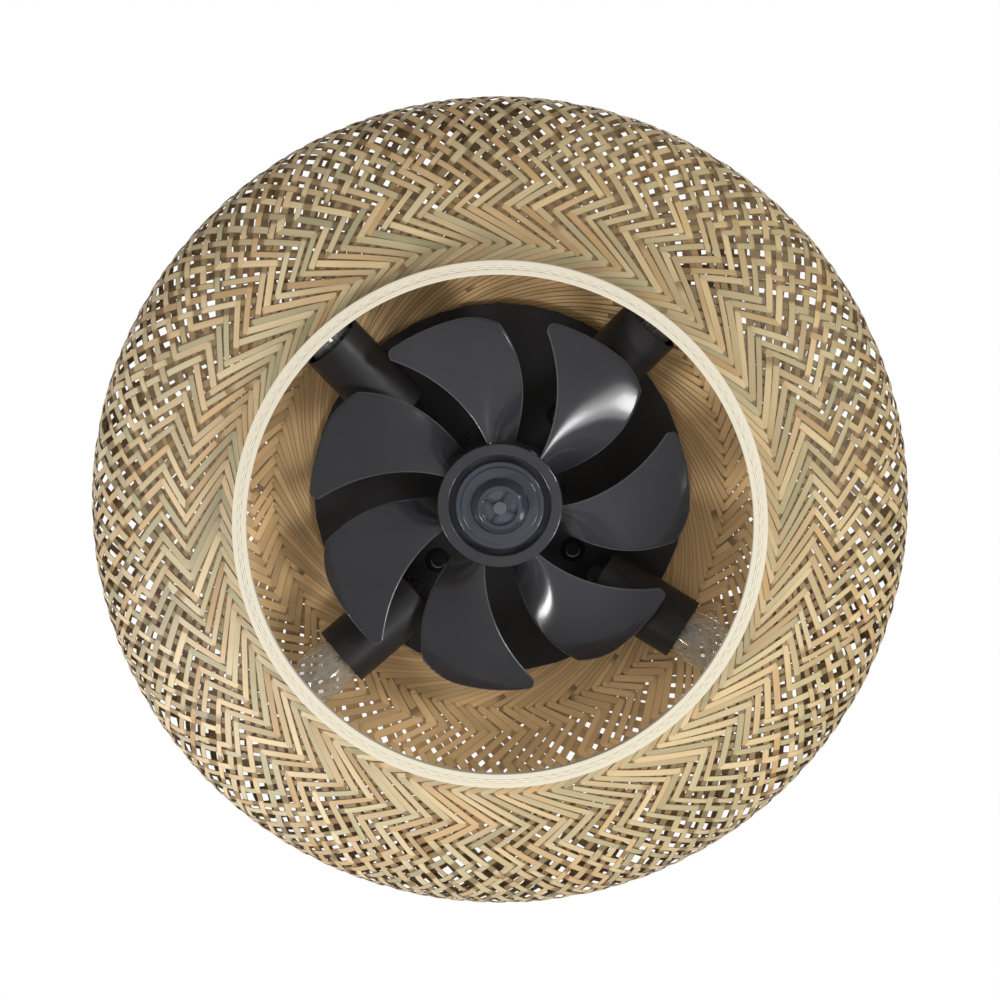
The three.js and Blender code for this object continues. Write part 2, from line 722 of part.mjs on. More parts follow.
function bearing(name, z) {
  piece(`${name}_outer_race`, ring(outerRaceBore, bearingRadius, z, z + bearingWidth, narrow), brightSteel);
  piece(`${name}_inner_race`, ring(bearingBore, innerRaceRadius, z, z + bearingWidth, narrow), brightSteel);
  const middle = z + bearingWidth / 2;
  const cage = ring(
    ballCircle - cageWidth / 2, ballCircle + cageWidth / 2, middle - cageHeight / 2, middle + cageHeight / 2,
    2 * ballCount,
  );
  const sphere = new THREE.SphereGeometry(ballRadius, 5, 4).rotateX(Math.PI / 2);
  const ball = welded(sphere.translate(0, -ballCircle, middle));
  const balls = around(ballCount, (angle) => aboutZ(ball, angle));
  piece(`${name}_ball_cage`, joined(cage, ...balls), brightSteel);
}

// A stepped shaft with a cross pin that drives the impeller.
function motorShaft() {
  const shoulderLow = lowerBearingZ + bearingWidth + gap;
  const shoulderHigh = statorZ - gap;
  const end = spinnerEndZ() + threadDepth + gap;
  const turnedShaft = turned([
    [0, end], [shaftRadius, end], [shaftRadius, shoulderLow], [shoulderRadius, shoulderLow],
    [shoulderRadius, shoulderHigh], [shaftRadius, shoulderHigh], [shaftRadius, motorCapZ - motorSheet - gap],
    [0, motorCapZ - motorSheet - gap],
  ], tiny);
  const pin = alongX(disc(drivePinRadius, -drivePinLength / 2, drivePinLength / 2, small));
  return joined(turnedShaft, pin.translate(0, 0, drivePinZ));
}

function rotorCore() {
  return ring(shaftRadius + boreClearance, statorBore - airGap, statorZ, statorZ + statorLength, medium);
}

piece('motor_housing_lower', motorHousingLower(), zinc);
piece('motor_housing_upper', motorHousingUpper(), zinc);
around(motorScrewCount, (angle, i) => {
  const top = upperFlangeZ + motorFlangeThickness + gap + motorScrewHeadHeight;
  const shape = screw(motorScrewRadius, motorScrewHeadRadius, motorScrewHeadHeight, top - plateZ);
  piece(`motor_screw_${i + 1}`, aboutZ(shape.translate(motorScrewCircle, 0, top), angle), blackPaint);
});
piece('stator_core', statorCore(), zinc);
piece('stator_windings', statorWindings(), copper);
bearing('lower_bearing', lowerBearingZ);
bearing('upper_bearing', upperBearingZ);
piece('motor_shaft', motorShaft(), brightSteel);
piece('rotor_core', rotorCore(), magnet);

// ---------------------------------------------------------------- impeller and spinner

// A point of the first blade: u runs across the chord from the leading edge, v from the root to the tip.
function bladePoint(u, v) {
  const root = hubRadius - bladeSeat;
  const lead = Math.max(0, 1 - u / leadRounding);
  const trail = Math.max(0, (u - 1 + trailRounding) / trailRounding);
  const tip = tipRadius * (1 - tipRounding * (lead * lead + trail * trail));
  const radius = root + v * (tip - root);
  const out = Math.max(0, (radius - hubRadius) / (tipRadius * (1 - tipRounding) - hubRadius));
  const leadAngle = leadRootAngle - leadSweep * out ** leadSweepPower;
  const trailAngle = trailRootAngle - trailSweep * out ** trailSweepPower;
  const angle = radians(leadAngle + (trailAngle - leadAngle) * u);
  const inward = Math.max(0, 1 - out);
  const leadZ = hubFaceZ + leadRise + leadRootRise * inward ** leadRisePower;
  const trailZ = hubFaceZ + trailTipRise + (trailRootRise - trailTipRise) * inward;
  const z = leadZ + (trailZ - leadZ) * (1 - (1 - u) ** camber);
  return new THREE.Vector3(radius * Math.cos(angle), radius * Math.sin(angle), z);
}

// A closed thin blade: the two faces of the grid, and a strip round its edge.
function blade() {
  const across = [0, 0.12, 0.27, 0.58, 0.88, 1];
  const along = [0, 0.16, 0.34, 0.52, 0.7, 0.86, 1];
  const columns = across.length;
  const rows = along.length;
  const edge = columns - 1;
  const end = rows - 1;
  const positions = [];
  for (const side of [0, 1]) {
    for (const v of along) {
      for (const u of across) {
        const point = bladePoint(u, v);
        positions.push(point.x, point.y, point.z + side * bladeThickness);
      }
    }
  }
  const at = (side, row, column) => side * rows * columns + row * columns + column;
  const index = [];
  const quad = (a, b, c, d) => index.push(a, b, c, a, c, d);
  for (let row = 0; row < rows - 1; row += 1) {
    for (let column = 0; column < columns - 1; column += 1) {
      quad(at(0, row, column), at(0, row + 1, column), at(0, row + 1, column + 1), at(0, row, column + 1));
      quad(at(1, row, column), at(1, row, column + 1), at(1, row + 1, column + 1), at(1, row + 1, column));
    }
    quad(at(0, row, 0), at(1, row, 0), at(1, row + 1, 0), at(0, row + 1, 0));
    quad(at(0, row, edge), at(0, row + 1, edge), at(1, row + 1, edge), at(1, row, edge));
  }
  for (let column = 0; column < columns - 1; column += 1) {
    quad(at(0, 0, column), at(0, 0, column + 1), at(1, 0, column + 1), at(1, 0, column));
    quad(at(0, end, column), at(1, end, column), at(1, end, column + 1), at(0, end, column + 1));
  }
  const geometry = new THREE.BufferGeometry();
  geometry.setAttribute('position', new THREE.Float32BufferAttribute(positions, 3));
  geometry.setIndex(index);
  return geometry;
}

function impeller() {
  const floorTop = recessFloorZ + hubWall;
  const bore = shaftRadius + boreClearance;
  const hub = turned([
    [recessRadius, hubFaceZ], [hubRadius, hubFaceZ], [hubRadius, hubFaceZ + hubDepth],
    [hubRadius - hubWall, hubFaceZ + hubDepth], [hubRadius - hubWall, hubFaceZ + hubWall],
    [recessRadius + hubWall, hubFaceZ + hubWall], [recessRadius + hubWall, floorTop],
    [hubBossRadius, floorTop],
    [hubBossRadius, hubBossTopZ], [bore, hubBossTopZ], [bore, recessFloorZ], [recessRadius, recessFloorZ],
  ], hubSides);
  const first = blade();
  const blades = around(bladeCount, (angle) => aboutZ(first, angle));
  const slot = box(
    [3 * hubBossRadius, 2 * (drivePinRadius + holeClearance), driveSlotDepth],
    [0, 0, drivePinZ],
  );
  return cut(joined(hub, ...blades), slot);
}

function spinnerEndZ() {
  return hubFaceZ - spinnerProud - gripHeight - spinnerBossHeight;
}

// A clear nut: a dished disc that fills the hub's recess, a tapered grip, and a threaded tube for the shaft.
function spinner() {
  const back = recessFloorZ - gap;
  const face = hubFaceZ - spinnerProud;
  const gripEnd = face - gripHeight;
  const end = spinnerEndZ();
  const bore = shaftRadius + boreClearance;
  return turned([
    [0, end], [spinnerBossRadius, end], [spinnerBossRadius, gripEnd], [gripRadius, gripEnd],
    [gripRootRadius, face], [spinnerRadius - spinnerBevel, face], [spinnerRadius, face + spinnerBevel / 2],
    [spinnerRadius, back], [spinnerRadius - spinnerWall, back],
    [spinnerRadius - spinnerWall, face + spinnerWall],
    [gripRootRadius - spinnerWall, face + spinnerWall], [gripRadius - spinnerWall, gripEnd + spinnerWall],
    [spinnerTubeRadius, gripEnd + spinnerWall], [spinnerTubeRadius, back], [bore, back],
    [bore, end + threadDepth], [0, end + threadDepth],
  ], medium);
}

piece('impeller', impeller(), smokedPlastic);
piece('spinner', spinner(), clearPlastic);

export default fan;
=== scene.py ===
import math

import bmesh
import bpy
import numpy as np
from mathutils import Matrix, Vector


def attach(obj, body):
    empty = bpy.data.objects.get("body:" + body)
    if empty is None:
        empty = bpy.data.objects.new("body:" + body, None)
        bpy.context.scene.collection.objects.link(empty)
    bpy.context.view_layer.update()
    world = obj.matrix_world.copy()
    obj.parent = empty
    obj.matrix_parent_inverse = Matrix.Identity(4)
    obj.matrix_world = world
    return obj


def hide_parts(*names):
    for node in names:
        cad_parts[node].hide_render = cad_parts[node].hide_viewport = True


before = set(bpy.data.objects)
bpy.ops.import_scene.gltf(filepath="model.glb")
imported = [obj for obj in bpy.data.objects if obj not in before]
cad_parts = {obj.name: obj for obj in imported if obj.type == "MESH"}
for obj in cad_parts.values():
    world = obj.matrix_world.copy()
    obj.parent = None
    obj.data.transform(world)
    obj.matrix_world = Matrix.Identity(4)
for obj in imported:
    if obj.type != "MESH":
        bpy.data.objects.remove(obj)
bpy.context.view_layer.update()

# ------------------------------------------------------------------ camera and studio
# The lens looks up at the fan from under one side of it, tilted off the fan's axis. A pale floor and a
# white surround light it evenly, four round lamps below put streaks on the blades, and one stands above.

MM = 0.001
EQUATOR_Z = -141 * MM                # widest level of the shade
CAMERA_TILT = math.radians(9.5)
CAMERA_DISTANCE = 1.6
CAMERA_RISE = 4.9 * MM               # aim above the middle of the shade, in the picture
LENS_MM = 93.96
SURROUND = 0.43                      # what the surround gives, against 1 where it is seen
FLOOR_Z, FLOOR_HALF = -2.6, 6
SHADE_CARD_Z, SHADE_CARD_RADIUS = 0.002, 0.106
STUDIO_LAMPS = (                     # name, place, width, watts
    ("key_lamp", (-1.05, 0.82, -1.05), 0.42, 16),
    ("low_lamp", (0.78, 0.55, -1.3), 0.28, 3.6),
    ("low_lamp_halo", (0.8, 0.58, -1.33), 0.5, 2.8),
    ("side_lamp", (1.05, -0.34, -1.28), 0.32, 8),
    ("back_lamp", (0.3, -0.5, 1.6), 1.2, 8),
)

scene = bpy.context.scene
scene.view_settings.view_transform = "Standard"

middle = Vector((0, 0, EQUATOR_Z))
camera_back = Vector((0, -math.sin(CAMERA_TILT), -math.cos(CAMERA_TILT)))
camera_up = Vector((0, -math.cos(CAMERA_TILT), math.sin(CAMERA_TILT)))
camera_right = camera_up.cross(camera_back)
camera_data = bpy.data.cameras.new("camera")
camera_data.sensor_width = 36
camera_data.lens = LENS_MM
camera_data.clip_start = 0.05
camera_data.clip_end = 50
camera = bpy.data.objects.new("camera", camera_data)
scene.collection.objects.link(camera)
camera.matrix_world = Matrix((camera_right, camera_up, camera_back)).transposed().to_4x4()
camera.location = middle + camera_back * CAMERA_DISTANCE + camera_up * CAMERA_RISE
scene.camera = camera

for name, place, width, watts in STUDIO_LAMPS:
    light = bpy.data.lights.new(name, "AREA")
    light.shape = "DISK"
    light.size = width
    light.energy = watts
    lamp = bpy.data.objects.new(name, light)
    scene.collection.objects.link(lamp)
    lamp.location = place
    lamp.rotation_euler = (middle - Vector(place)).to_track_quat("-Z", "Y").to_euler()


def feed(socket, value):
    """Links a source to a socket, or sets the socket to a constant."""
    if isinstance(value, bpy.types.NodeSocket):
        socket.id_data.links.new(value, socket)
    else:
        socket.default_value = value


def node(tree, kind, **settings):
    """Adds a node, and sets its options and its sockets by name; a socket takes a source or a constant."""
    made = tree.nodes.new("ShaderNode" + kind)
    for key, value in settings.items():
        if hasattr(made, key):
            setattr(made, key, value)
        else:
            feed(made.inputs[key.replace("_", " ")], value)
    return made


def maths(operation, *values, kind="Math", result="Value"):
    """One step of arithmetic on a source and other sources or constants; returns its result."""
    step = node(values[0].id_data, kind, operation=operation)
    for place, value in enumerate(values):
        feed(step.inputs[place], value)
    return step.outputs[result]


def shader_mix(factor, first, second):
    """A mix of two shaders."""
    mix = node(factor.id_data, "MixShader", Fac=factor)
    feed(mix.inputs[1], first)
    feed(mix.inputs[2], second)
    return mix.outputs[0]


def seen_white(tree, own):
    """Mixes a shader with plain white light for camera, mirror and see-through rays; returns the mix."""
    path = node(tree, "LightPath").outputs
    seen = maths("MAXIMUM", path["Is Camera Ray"], path["Is Glossy Ray"])
    seen = maths("MAXIMUM", seen, path["Is Transmission Ray"])
    white = node(tree, "Background", Color=(1, 1, 1, 1), Strength=1.0)
    return shader_mix(seen, own, white.outputs[0])


def new_material(name, **constants):
    """A material with one Principled shader set to constants; returns the material, tree and shader."""
    made = bpy.data.materials.new(name)
    made.use_nodes = True
    shader = made.node_tree.nodes["Principled BSDF"]
    for key, value in constants.items():
        shader.inputs[key.replace("_", " ")].default_value = value
    return made, made.node_tree, shader


def card(name, corners, paint):
    """A flat card: one face through its corners."""
    mesh = bpy.data.meshes.new(name)
    mesh.from_pydata(corners, [], [tuple(range(len(corners)))])
    mesh.materials.append(paint)
    made = bpy.data.objects.new(name, mesh)
    scene.collection.objects.link(made)
    return made


world = bpy.data.worlds.new("studio")
world.use_nodes = True
scene.world = world
tree = world.node_tree
surround = tree.nodes["Background"]
surround.inputs["Color"].default_value = (1, 1, 1, 1)
surround.inputs["Strength"].default_value = SURROUND
feed(tree.nodes["World Output"].inputs["Surface"], seen_white(tree, surround.outputs[0]))

pale_floor, _, _ = new_material("pale_floor", Base_Color=(0.86, 0.86, 0.85, 1), Roughness=0.9)
square = ((-1, -1), (1, -1), (1, 1), (-1, 1))
floor = card("floor", [(FLOOR_HALF * x, FLOOR_HALF * y, FLOOR_Z) for x, y in square], pale_floor)

# Painted shade: a dark card behind the pan, seen only by the camera from below, through the pan's holes.
painted_shade_card, tree, dark = new_material("painted_shade_card", Base_Color=(0.02, 0.02, 0.02, 1))
backfacing = node(tree, "NewGeometry").outputs["Backfacing"]
one_sided = shader_mix(backfacing, node(tree, "BsdfTransparent").outputs[0], dark.outputs[0])
feed(tree.nodes["Material Output"].inputs["Surface"], one_sided)
turn = np.linspace(0, 2 * math.pi, 64, endpoint=False)
disc = np.stack([SHADE_CARD_RADIUS * np.cos(turn), SHADE_CARD_RADIUS * np.sin(turn), 0 * turn + SHADE_CARD_Z], -1)
ceiling = card("ceiling", disc.tolist(), painted_shade_card)
ceiling.visible_shadow = False       # light still falls into the pan from above
ceiling.visible_diffuse = False
ceiling.visible_glossy = False

# ------------------------------------------------------------------ ceiling bracket and its screws
# A galvanised strap with two turned-down ears, screwed to the ceiling. Two side screws through the pan's
# wall hold the fan on the ears. The zinc is spangled, and its edges are rubbed bright.


def new_group(name, inputs, output, kind="Float"):
    """A shader node group with float inputs and one output; returns its tree and its two ends' sockets."""
    tree = bpy.data.node_groups.new(name, "ShaderNodeTree")
    for label, value in inputs.items():
        socket = tree.interface.new_socket(label, in_out="INPUT", socket_type="NodeSocketFloat")
        socket.default_value = value
    tree.interface.new_socket(output, in_out="OUTPUT", socket_type="NodeSocket" + kind)
    return tree, tree.nodes.new("NodeGroupInput").outputs, tree.nodes.new("NodeGroupOutput").inputs


def on_object(tree):
    """Each point's place on its object."""
    return node(tree, "TexCoord").outputs["Object"]


def ranged(value, low, high, least=0.0, most=1.0):
    """A value that goes from least to most as another goes from low to high, and is held beyond."""
    limits = {"From_Min": low, "From_Max": high, "To_Min": least, "To_Max": most}
    return node(value.id_data, "MapRange", Value=value, **limits).outputs[0]


# Mottle: soft clouds of a given size, as a value between two limits.
mottle, given, result = new_group("mottle", {"Scale": 40.0, "Low": 0.0, "High": 1.0}, "Value")
cloud = node(mottle, "TexNoise", Vector=on_object(mottle), Scale=given["Scale"], Detail=5.0)
feed(result["Value"], ranged(cloud.outputs["Fac"], 0.3, 0.7, given["Low"], given["High"]))

# Pebble: the fine unevenness of paint or of a mould, as a normal.
pebble, given, result = new_group("pebble", {"Scale": 700.0, "Strength": 0.15}, "Normal", "Vector")
grain = node(pebble, "TexNoise", Vector=on_object(pebble), Scale=given["Scale"], Detail=2.0)
raised = node(pebble, "Bump", Height=grain.outputs["Fac"], Strength=given["Strength"], Distance=0.0004)
feed(result["Normal"], raised.outputs[0])

# Edge wear: a mask that is 1 on corners, broken up by clouds.
edge_wear, given, result = new_group("edge_wear", {"Radius": 0.0006, "Amount": 1.0}, "Mask")
rounded = node(edge_wear, "Bevel", Radius=given["Radius"], samples=4)
straight = node(edge_wear, "NewGeometry")
facing = maths("DOT_PRODUCT", rounded.outputs[0], straight.outputs["Normal"], kind="VectorMath")
broken = node(edge_wear, "TexNoise", Vector=on_object(edge_wear), Scale=260.0, Detail=4.0)
patchy = maths("MULTIPLY", ranged(facing, 0.98, 0.8), broken.outputs["Fac"])
feed(result["Mask"], maths("MULTIPLY", patchy, given["Amount"]))


def placed_group(tree, group, **values):
    """The output of a node group placed in a material with its own input values."""
    return node(tree, "Group", node_tree=group, **values).outputs[0]


def between(factor, low, high):
    """A colour between two others."""
    mix = node(factor.id_data, "Mix", data_type="RGBA", Factor=factor)
    for place, colour in ((6, low), (7, high)):
        feed(mix.inputs[place], (*colour, 1) if isinstance(colour, tuple) else colour)
    return mix.outputs[2]


def skinned(shader, colour, rough, grain, bump):
    """Feeds a shader its colour and roughness, and the normal of a pebble of a given grain and bump."""
    skin = placed_group(shader.id_data, pebble, Scale=grain, Strength=bump)
    for label, value in (("Base Color", colour), ("Roughness", rough), ("Normal", skin)):
        feed(shader.inputs[label], value)


def worn_finish(name, low, high, rough, cloud=40.0, grain=700.0, bump=0.15, wear=None, **constants):
    """Clouds between two colours, clouded roughness, a fine bump and, if asked, worn edges."""
    made, tree, shader = new_material(name, **constants)
    colour = between(placed_group(tree, mottle, Scale=cloud), low, high)
    if wear:
        colour = between(placed_group(tree, edge_wear), colour, wear)
    gloss = placed_group(tree, mottle, Scale=cloud * 2.3, Low=rough[0], High=rough[1])
    skinned(shader, colour, gloss, grain, bump)
    return made


def spangled_zinc():
    """Galvanised steel: flat crystals of slightly different brightness and gloss."""
    made, tree, shader = new_material("zinc", Metallic=1.0)
    crystals = node(tree, "TexVoronoi", Vector=on_object(tree), Scale=190.0)
    shade = node(tree, "SeparateColor", Color=crystals.outputs["Color"]).outputs
    colour = between(shade[0], (0.42, 0.43, 0.45), (0.6, 0.61, 0.62))
    colour = between(placed_group(tree, edge_wear, Amount=0.8), colour, (0.72, 0.73, 0.74))
    skinned(shader, colour, ranged(shade[1], 0, 1, 0.32, 0.5), 400.0, 0.08)
    return made


def dressed(name, material, edge=0.25):
    """Gives a CAD node its material, joins its loose corners and rounds its edges, in millimetres."""
    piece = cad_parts[name]
    piece.data.materials.clear()
    piece.data.materials.append(material)
    custom = piece.data.attributes.get("custom_normal")
    if custom:
        piece.data.attributes.remove(custom)
    piece.data.polygons.foreach_set("use_smooth", np.ones(len(piece.data.polygons), bool))
    weld = piece.modifiers.new("weld", "WELD")
    weld.merge_threshold = 1e-6
    soften = piece.modifiers.new("edges", "BEVEL")
    soften.width = edge * MM
    soften.segments = 2
    soften.limit_method = "ANGLE"
    soften.angle_limit = math.radians(32)
    soften.harden_normals = True


zinc = spangled_zinc()
bright_steel = worn_finish(
    "bright_steel", (0.6, 0.61, 0.62), (0.72, 0.72, 0.73), (0.18, 0.3), cloud=90.0, bump=0.05, Metallic=1.0
)
dressed("ceiling_bracket", zinc, 0.3)
for number in (1, 2):
    dressed(f"pan_side_screw_{number}", bright_steel)

# ------------------------------------------------------------------ ceiling pan
# A spun steel drum with a flanged bottom plate, powder coated matt black. The plate is the dark disc
# behind the blades, and the clips on the drum's wall press the shade's top hoops down on its flange.

black_paint = worn_finish(
    "black_paint", (0.019, 0.0172, 0.0178), (0.026, 0.0238, 0.0245), (0.4, 0.52),
    cloud=26.0, grain=900.0, bump=0.1, wear=(0.05, 0.047, 0.046), Specular_IOR_Level=0.32,
)
dressed("base_pan", black_paint, 0.3)
for number in (1, 2, 3):
    dressed(f"shade_clip_{number}", black_paint, 0.2)

# ------------------------------------------------------------------ controller
# A white moulded box beside the motor, inside the pan. It takes the remote's signal, switches the four
# lamps and drives the motor.

white_plastic = worn_finish(
    "white_plastic", (0.66, 0.64, 0.6), (0.74, 0.72, 0.68), (0.38, 0.5), cloud=30.0, grain=1200.0, bump=0.08
)
dressed("controller_box", white_plastic, 0.8)

# ------------------------------------------------------------------ bamboo hoops
# Four hoops of planed pale bamboo, bent round and glued at a slanted joint. Two of them clamp the ends of
# the strips at the mouth and two at the top. Each is a rounded strip carried once round the fan's axis.

HOOP_SIDES = 288
HOOP_WALL = 3.2
HOOP_EDGE = 0.3                      # rounding of the long edges
HOOP_SLANT = 9                       # degrees that the joint takes up round the hoop
JOINT_GAP = 0.0016                   # and its open seam, in radians


def grid_faces(start, stations, corners, ring):
    """Quads that join the corner loops of consecutive stations, for each block of points from `start`."""
    turns = stations if ring else stations - 1
    first = np.arange(turns)[:, None] * corners
    second = ((np.arange(turns) + 1) % stations)[:, None] * corners
    here = np.arange(corners)[None, :]
    after = (here + 1) % corners
    quads = np.stack([first + here, first + after, second + after, second + here], -1).reshape(-1, 4)
    return (np.asarray(start)[:, None, None] + quads).reshape(-1, 4)


def lofted(sections, ring=False):
    """Closed skins over sections of shape (bodies, stations, corners, 3).

    A station's corners go along one face and back along the other. Consecutive stations are joined by
    quads, and a body that is not a ring gets a flat end at each side, made of quads across its section.
    """
    bodies, stations, corners, _ = sections.shape
    points = sections.reshape(-1, 3)
    start = np.arange(bodies) * stations * corners
    faces = [grid_faces(start, stations, corners, ring)]
    if not ring:
        across = np.arange(corners // 2 - 1)
        cap = np.stack([across, across + 1, corners - 2 - across, corners - 1 - across], -1)
        for offset, quads in ((0, cap[:, ::-1]), ((stations - 1) * corners, cap)):
            faces.append((start[:, None, None] + offset + quads).reshape(-1, 4))
    faces = np.concatenate(faces)
    a, b, c, d = (points[faces[:, corner]] for corner in range(4))
    volume = np.einsum("ij,ij->", a, np.cross(b, c)) + np.einsum("ij,ij->", a, np.cross(c, d))
    return points, faces if volume > 0 else faces[:, ::-1]


def new_piece(name, shape, material, slot, replaces=(), body="root", sharp=35, poles=False, **colours):
    """An object from points in millimetres and quads, shaded smooth up to an angle, that rides on a body.

    Named colours are point attributes of four values. With poles, points in one place are merged.
    """
    points, faces = shape
    mesh = bpy.data.meshes.new(name)
    mesh.vertices.add(len(points))
    mesh.vertices.foreach_set("co", (points * MM).astype(np.float32).ravel())
    mesh.loops.add(faces.size)
    mesh.loops.foreach_set("vertex_index", np.ascontiguousarray(faces, np.int32).ravel())
    mesh.polygons.add(len(faces))
    mesh.polygons.foreach_set("loop_start", np.arange(0, faces.size, 4, dtype=np.int32))
    for label, values in colours.items():
        attribute = mesh.attributes.new(label, "FLOAT_COLOR", "POINT")
        attribute.data.foreach_set("color", np.ascontiguousarray(values, np.float32).ravel())
    mesh.update(calc_edges=True)
    if poles:
        work = bmesh.new()
        work.from_mesh(mesh)
        bmesh.ops.remove_doubles(work, verts=work.verts, dist=1e-7)
        loose = [edge for edge in work.edges if not edge.link_faces]
        bmesh.ops.delete(work, geom=loose, context="EDGES")
        work.to_mesh(mesh)
        work.free()
    mesh.polygons.foreach_set("use_smooth", np.ones(len(mesh.polygons), bool))
    mesh.set_sharp_from_angle(angle=math.radians(sharp))
    mesh.materials.append(material)
    made = bpy.data.objects.new(name, mesh)
    scene.collection.objects.link(made)
    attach(made, body)
    if replaces:
        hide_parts(*replaces)


def four_values(*values):
    """Rows of four values for a point attribute."""
    return np.stack(np.broadcast_arrays(*values), -1).reshape(-1, 4)


def point_values(tree, name):
    """The four values of a point attribute."""
    attribute = node(tree, "Attribute", attribute_name=name)
    parts = node(tree, "SeparateColor", Color=attribute.outputs["Color"])
    return (*parts.outputs, attribute.outputs["Alpha"])


def streaks(tree, place, scale, detail, rough=0.5):
    """Noise over a place of two or three values, each of which has its own scale."""
    joined = node(tree, "CombineXYZ", **dict(zip("XYZ", place)))
    scaled = node(tree, "Mapping", Vector=joined.outputs[0], Scale=scale)
    noise = node(tree, "TexNoise", Vector=scaled.outputs[0], Scale=1.0, Detail=detail, Roughness=rough)
    return noise.outputs["Fac"]


def bamboo_finish(name, rough, bump):
    """What all the bamboo shares: fibres along the strip, which change its gloss and stand up in ridges.

    Returns the material, tree, shader, the fibre value and the values of the two point attributes.
    """
    made, tree, shader = new_material(name, Specular_IOR_Level=0.35)
    lay, tint = point_values(tree, "lay"), point_values(tree, "tint")
    fibre = streaks(tree, (lay[0], lay[1], tint[2]), (9.0, 2.4, 60.0), 6.0, 0.62)
    feed(shader.inputs["Roughness"], ranged(fibre, 0.3, 0.7, *rough))
    ridges = node(tree, "Bump", Height=fibre, Strength=bump, Distance=0.0003)
    feed(shader.inputs["Normal"], ridges.outputs[0])
    return made, tree, shader, fibre, lay, tint


def hoop_finish():
    """Planed bamboo: cream, with fine straight fibres a little darker and a few thin grey splits."""
    made, tree, shader, fibre, lay, _ = bamboo_finish("pale_bamboo", (0.5, 0.7), 0.35)
    colour = between(fibre, (0.645, 0.585, 0.45), (0.71, 0.655, 0.525))
    colour = between(placed_group(tree, mottle, Scale=14.0), colour, (0.68, 0.625, 0.495))
    split = ranged(streaks(tree, lay[:2], (7.0, 1.7, 1.0), 1.0), 0.7, 0.74)
    feed(shader.inputs["Base Color"], between(split, colour, (0.56, 0.51, 0.4)))
    return made


def hoop(name, inner, low, high, joint):
    """A hoop whose section is the wall by its height, carried once round from joint to joint.

    The section is a rectangle with corners rounded by quarter circles. The angle of each point grows
    with its depth in the wall, so that the two ends meet in a slanted joint. The point attributes are lay
    (place along and across, face, how far cut) and tint.
    """
    quarter = np.radians([0, 22.5, 45, 67.5, 90])
    turn = np.concatenate([quarter + start for start in np.radians([0, 90, 180, 270])])
    centre = np.repeat([(1, 1), (-1, 1), (-1, -1), (1, -1)], len(quarter), 0)
    depth = centre[:, 0] * (HOOP_WALL / 2 - HOOP_EDGE) + HOOP_EDGE * np.cos(turn)
    height = centre[:, 1] * ((high - low) / 2 - HOOP_EDGE) + HOOP_EDGE * np.sin(turn)
    span = np.linspace(0, 2 * math.pi - JOINT_GAP, HOOP_SIDES)[:, None]
    radius = inner + HOOP_WALL / 2 + depth[None, :]
    slant = math.radians(HOOP_SLANT) * (depth[None, :] / HOOP_WALL + 0.5)
    angle = math.radians(joint) + span + slant
    level = np.broadcast_to((low + high) / 2 + height[None, :], angle.shape)
    points = np.stack([radius * np.cos(angle), radius * np.sin(angle), level], -1)
    across = (depth + height)[None, :] / 1.75
    seed = np.full(angle.shape, (joint % 7) / 7)
    new_piece(
        name, lofted(points[None]), pale_bamboo, "bamboo_hoop", [name], sharp=50,
        lay=four_values(span * (inner / 1000), across, 0.0, 0.0), tint=four_values(seed, seed, seed, 1.0),
    )


pale_bamboo = hoop_finish()
hoop("mouth_hoop_inner", 148.7, -213.0, -208.0, 214)
hoop("mouth_hoop_outer", 153.9, -213.0, -208.0, 232)
hoop("top_hoop_inner", 110.8, -67.7, -48.7, 151)
hoop("top_hoop_outer", 116.0, -62.7, -48.7, 322)

# ------------------------------------------------------------------ woven shade
# Two layers of split bamboo strips, 120 to a layer, that wind opposite ways from the mouth hoops round
# the belly to the top hoops. Near the hoops one layer floats over the other and its strips lap like
# shingles. Towards the belly bands of short floats make chevrons, and then the strips cross one by one.

STRIPS = 120
BELLY_RADIUS = 249.0                 # middle of the shell's wall
BELLY_DROP = 65.5
CROWN_RISE = 82.0
FULLNESS = 2.5
MOUTH_NECK = (152.9, -71.95)         # radius, and height over the equator of the strips' cut ends
TOP_NECK = (115.0, 92.1)
STRIP_WIDTH = 3.7
STRIP_WIDTHS = (0.84, 1.16)          # a strip's own width, as a share of that
STRIP_SHEET = 0.5
STRIP_CROWN = 0.07                   # how far its middle is raised, as a share of its thickness
STRIP_EDGE = 0.38                    # half its thickness at the long edges, as a share
LAYER_GAP = 0.04
CLAMPED_SHEET, CLAMPED_HALF = 1.84, 0.48       # thickness, and half width by spacing, between two hoops
CROWN_WIDENING = 0.26                # strips are wider by this share past the equator
CROSSING = (0.24, 0.76)              # between two rows, a strip changes sides between these shares
SLIP, SLIP_LIMIT = 0.15, 0.28        # how far a strip lies off its even place, in pitches
WAVE = 0.07                          # and how far it wanders
MOUTH_CLAMP, TOP_CLAMP = (5, 14), (12, 18)     # distances from the cut ends where the hoops' grip fades
MOUTH_LOOSE, TOP_LOOSE = (8, 60), (8, 90)      # and over which strips come to lie freely


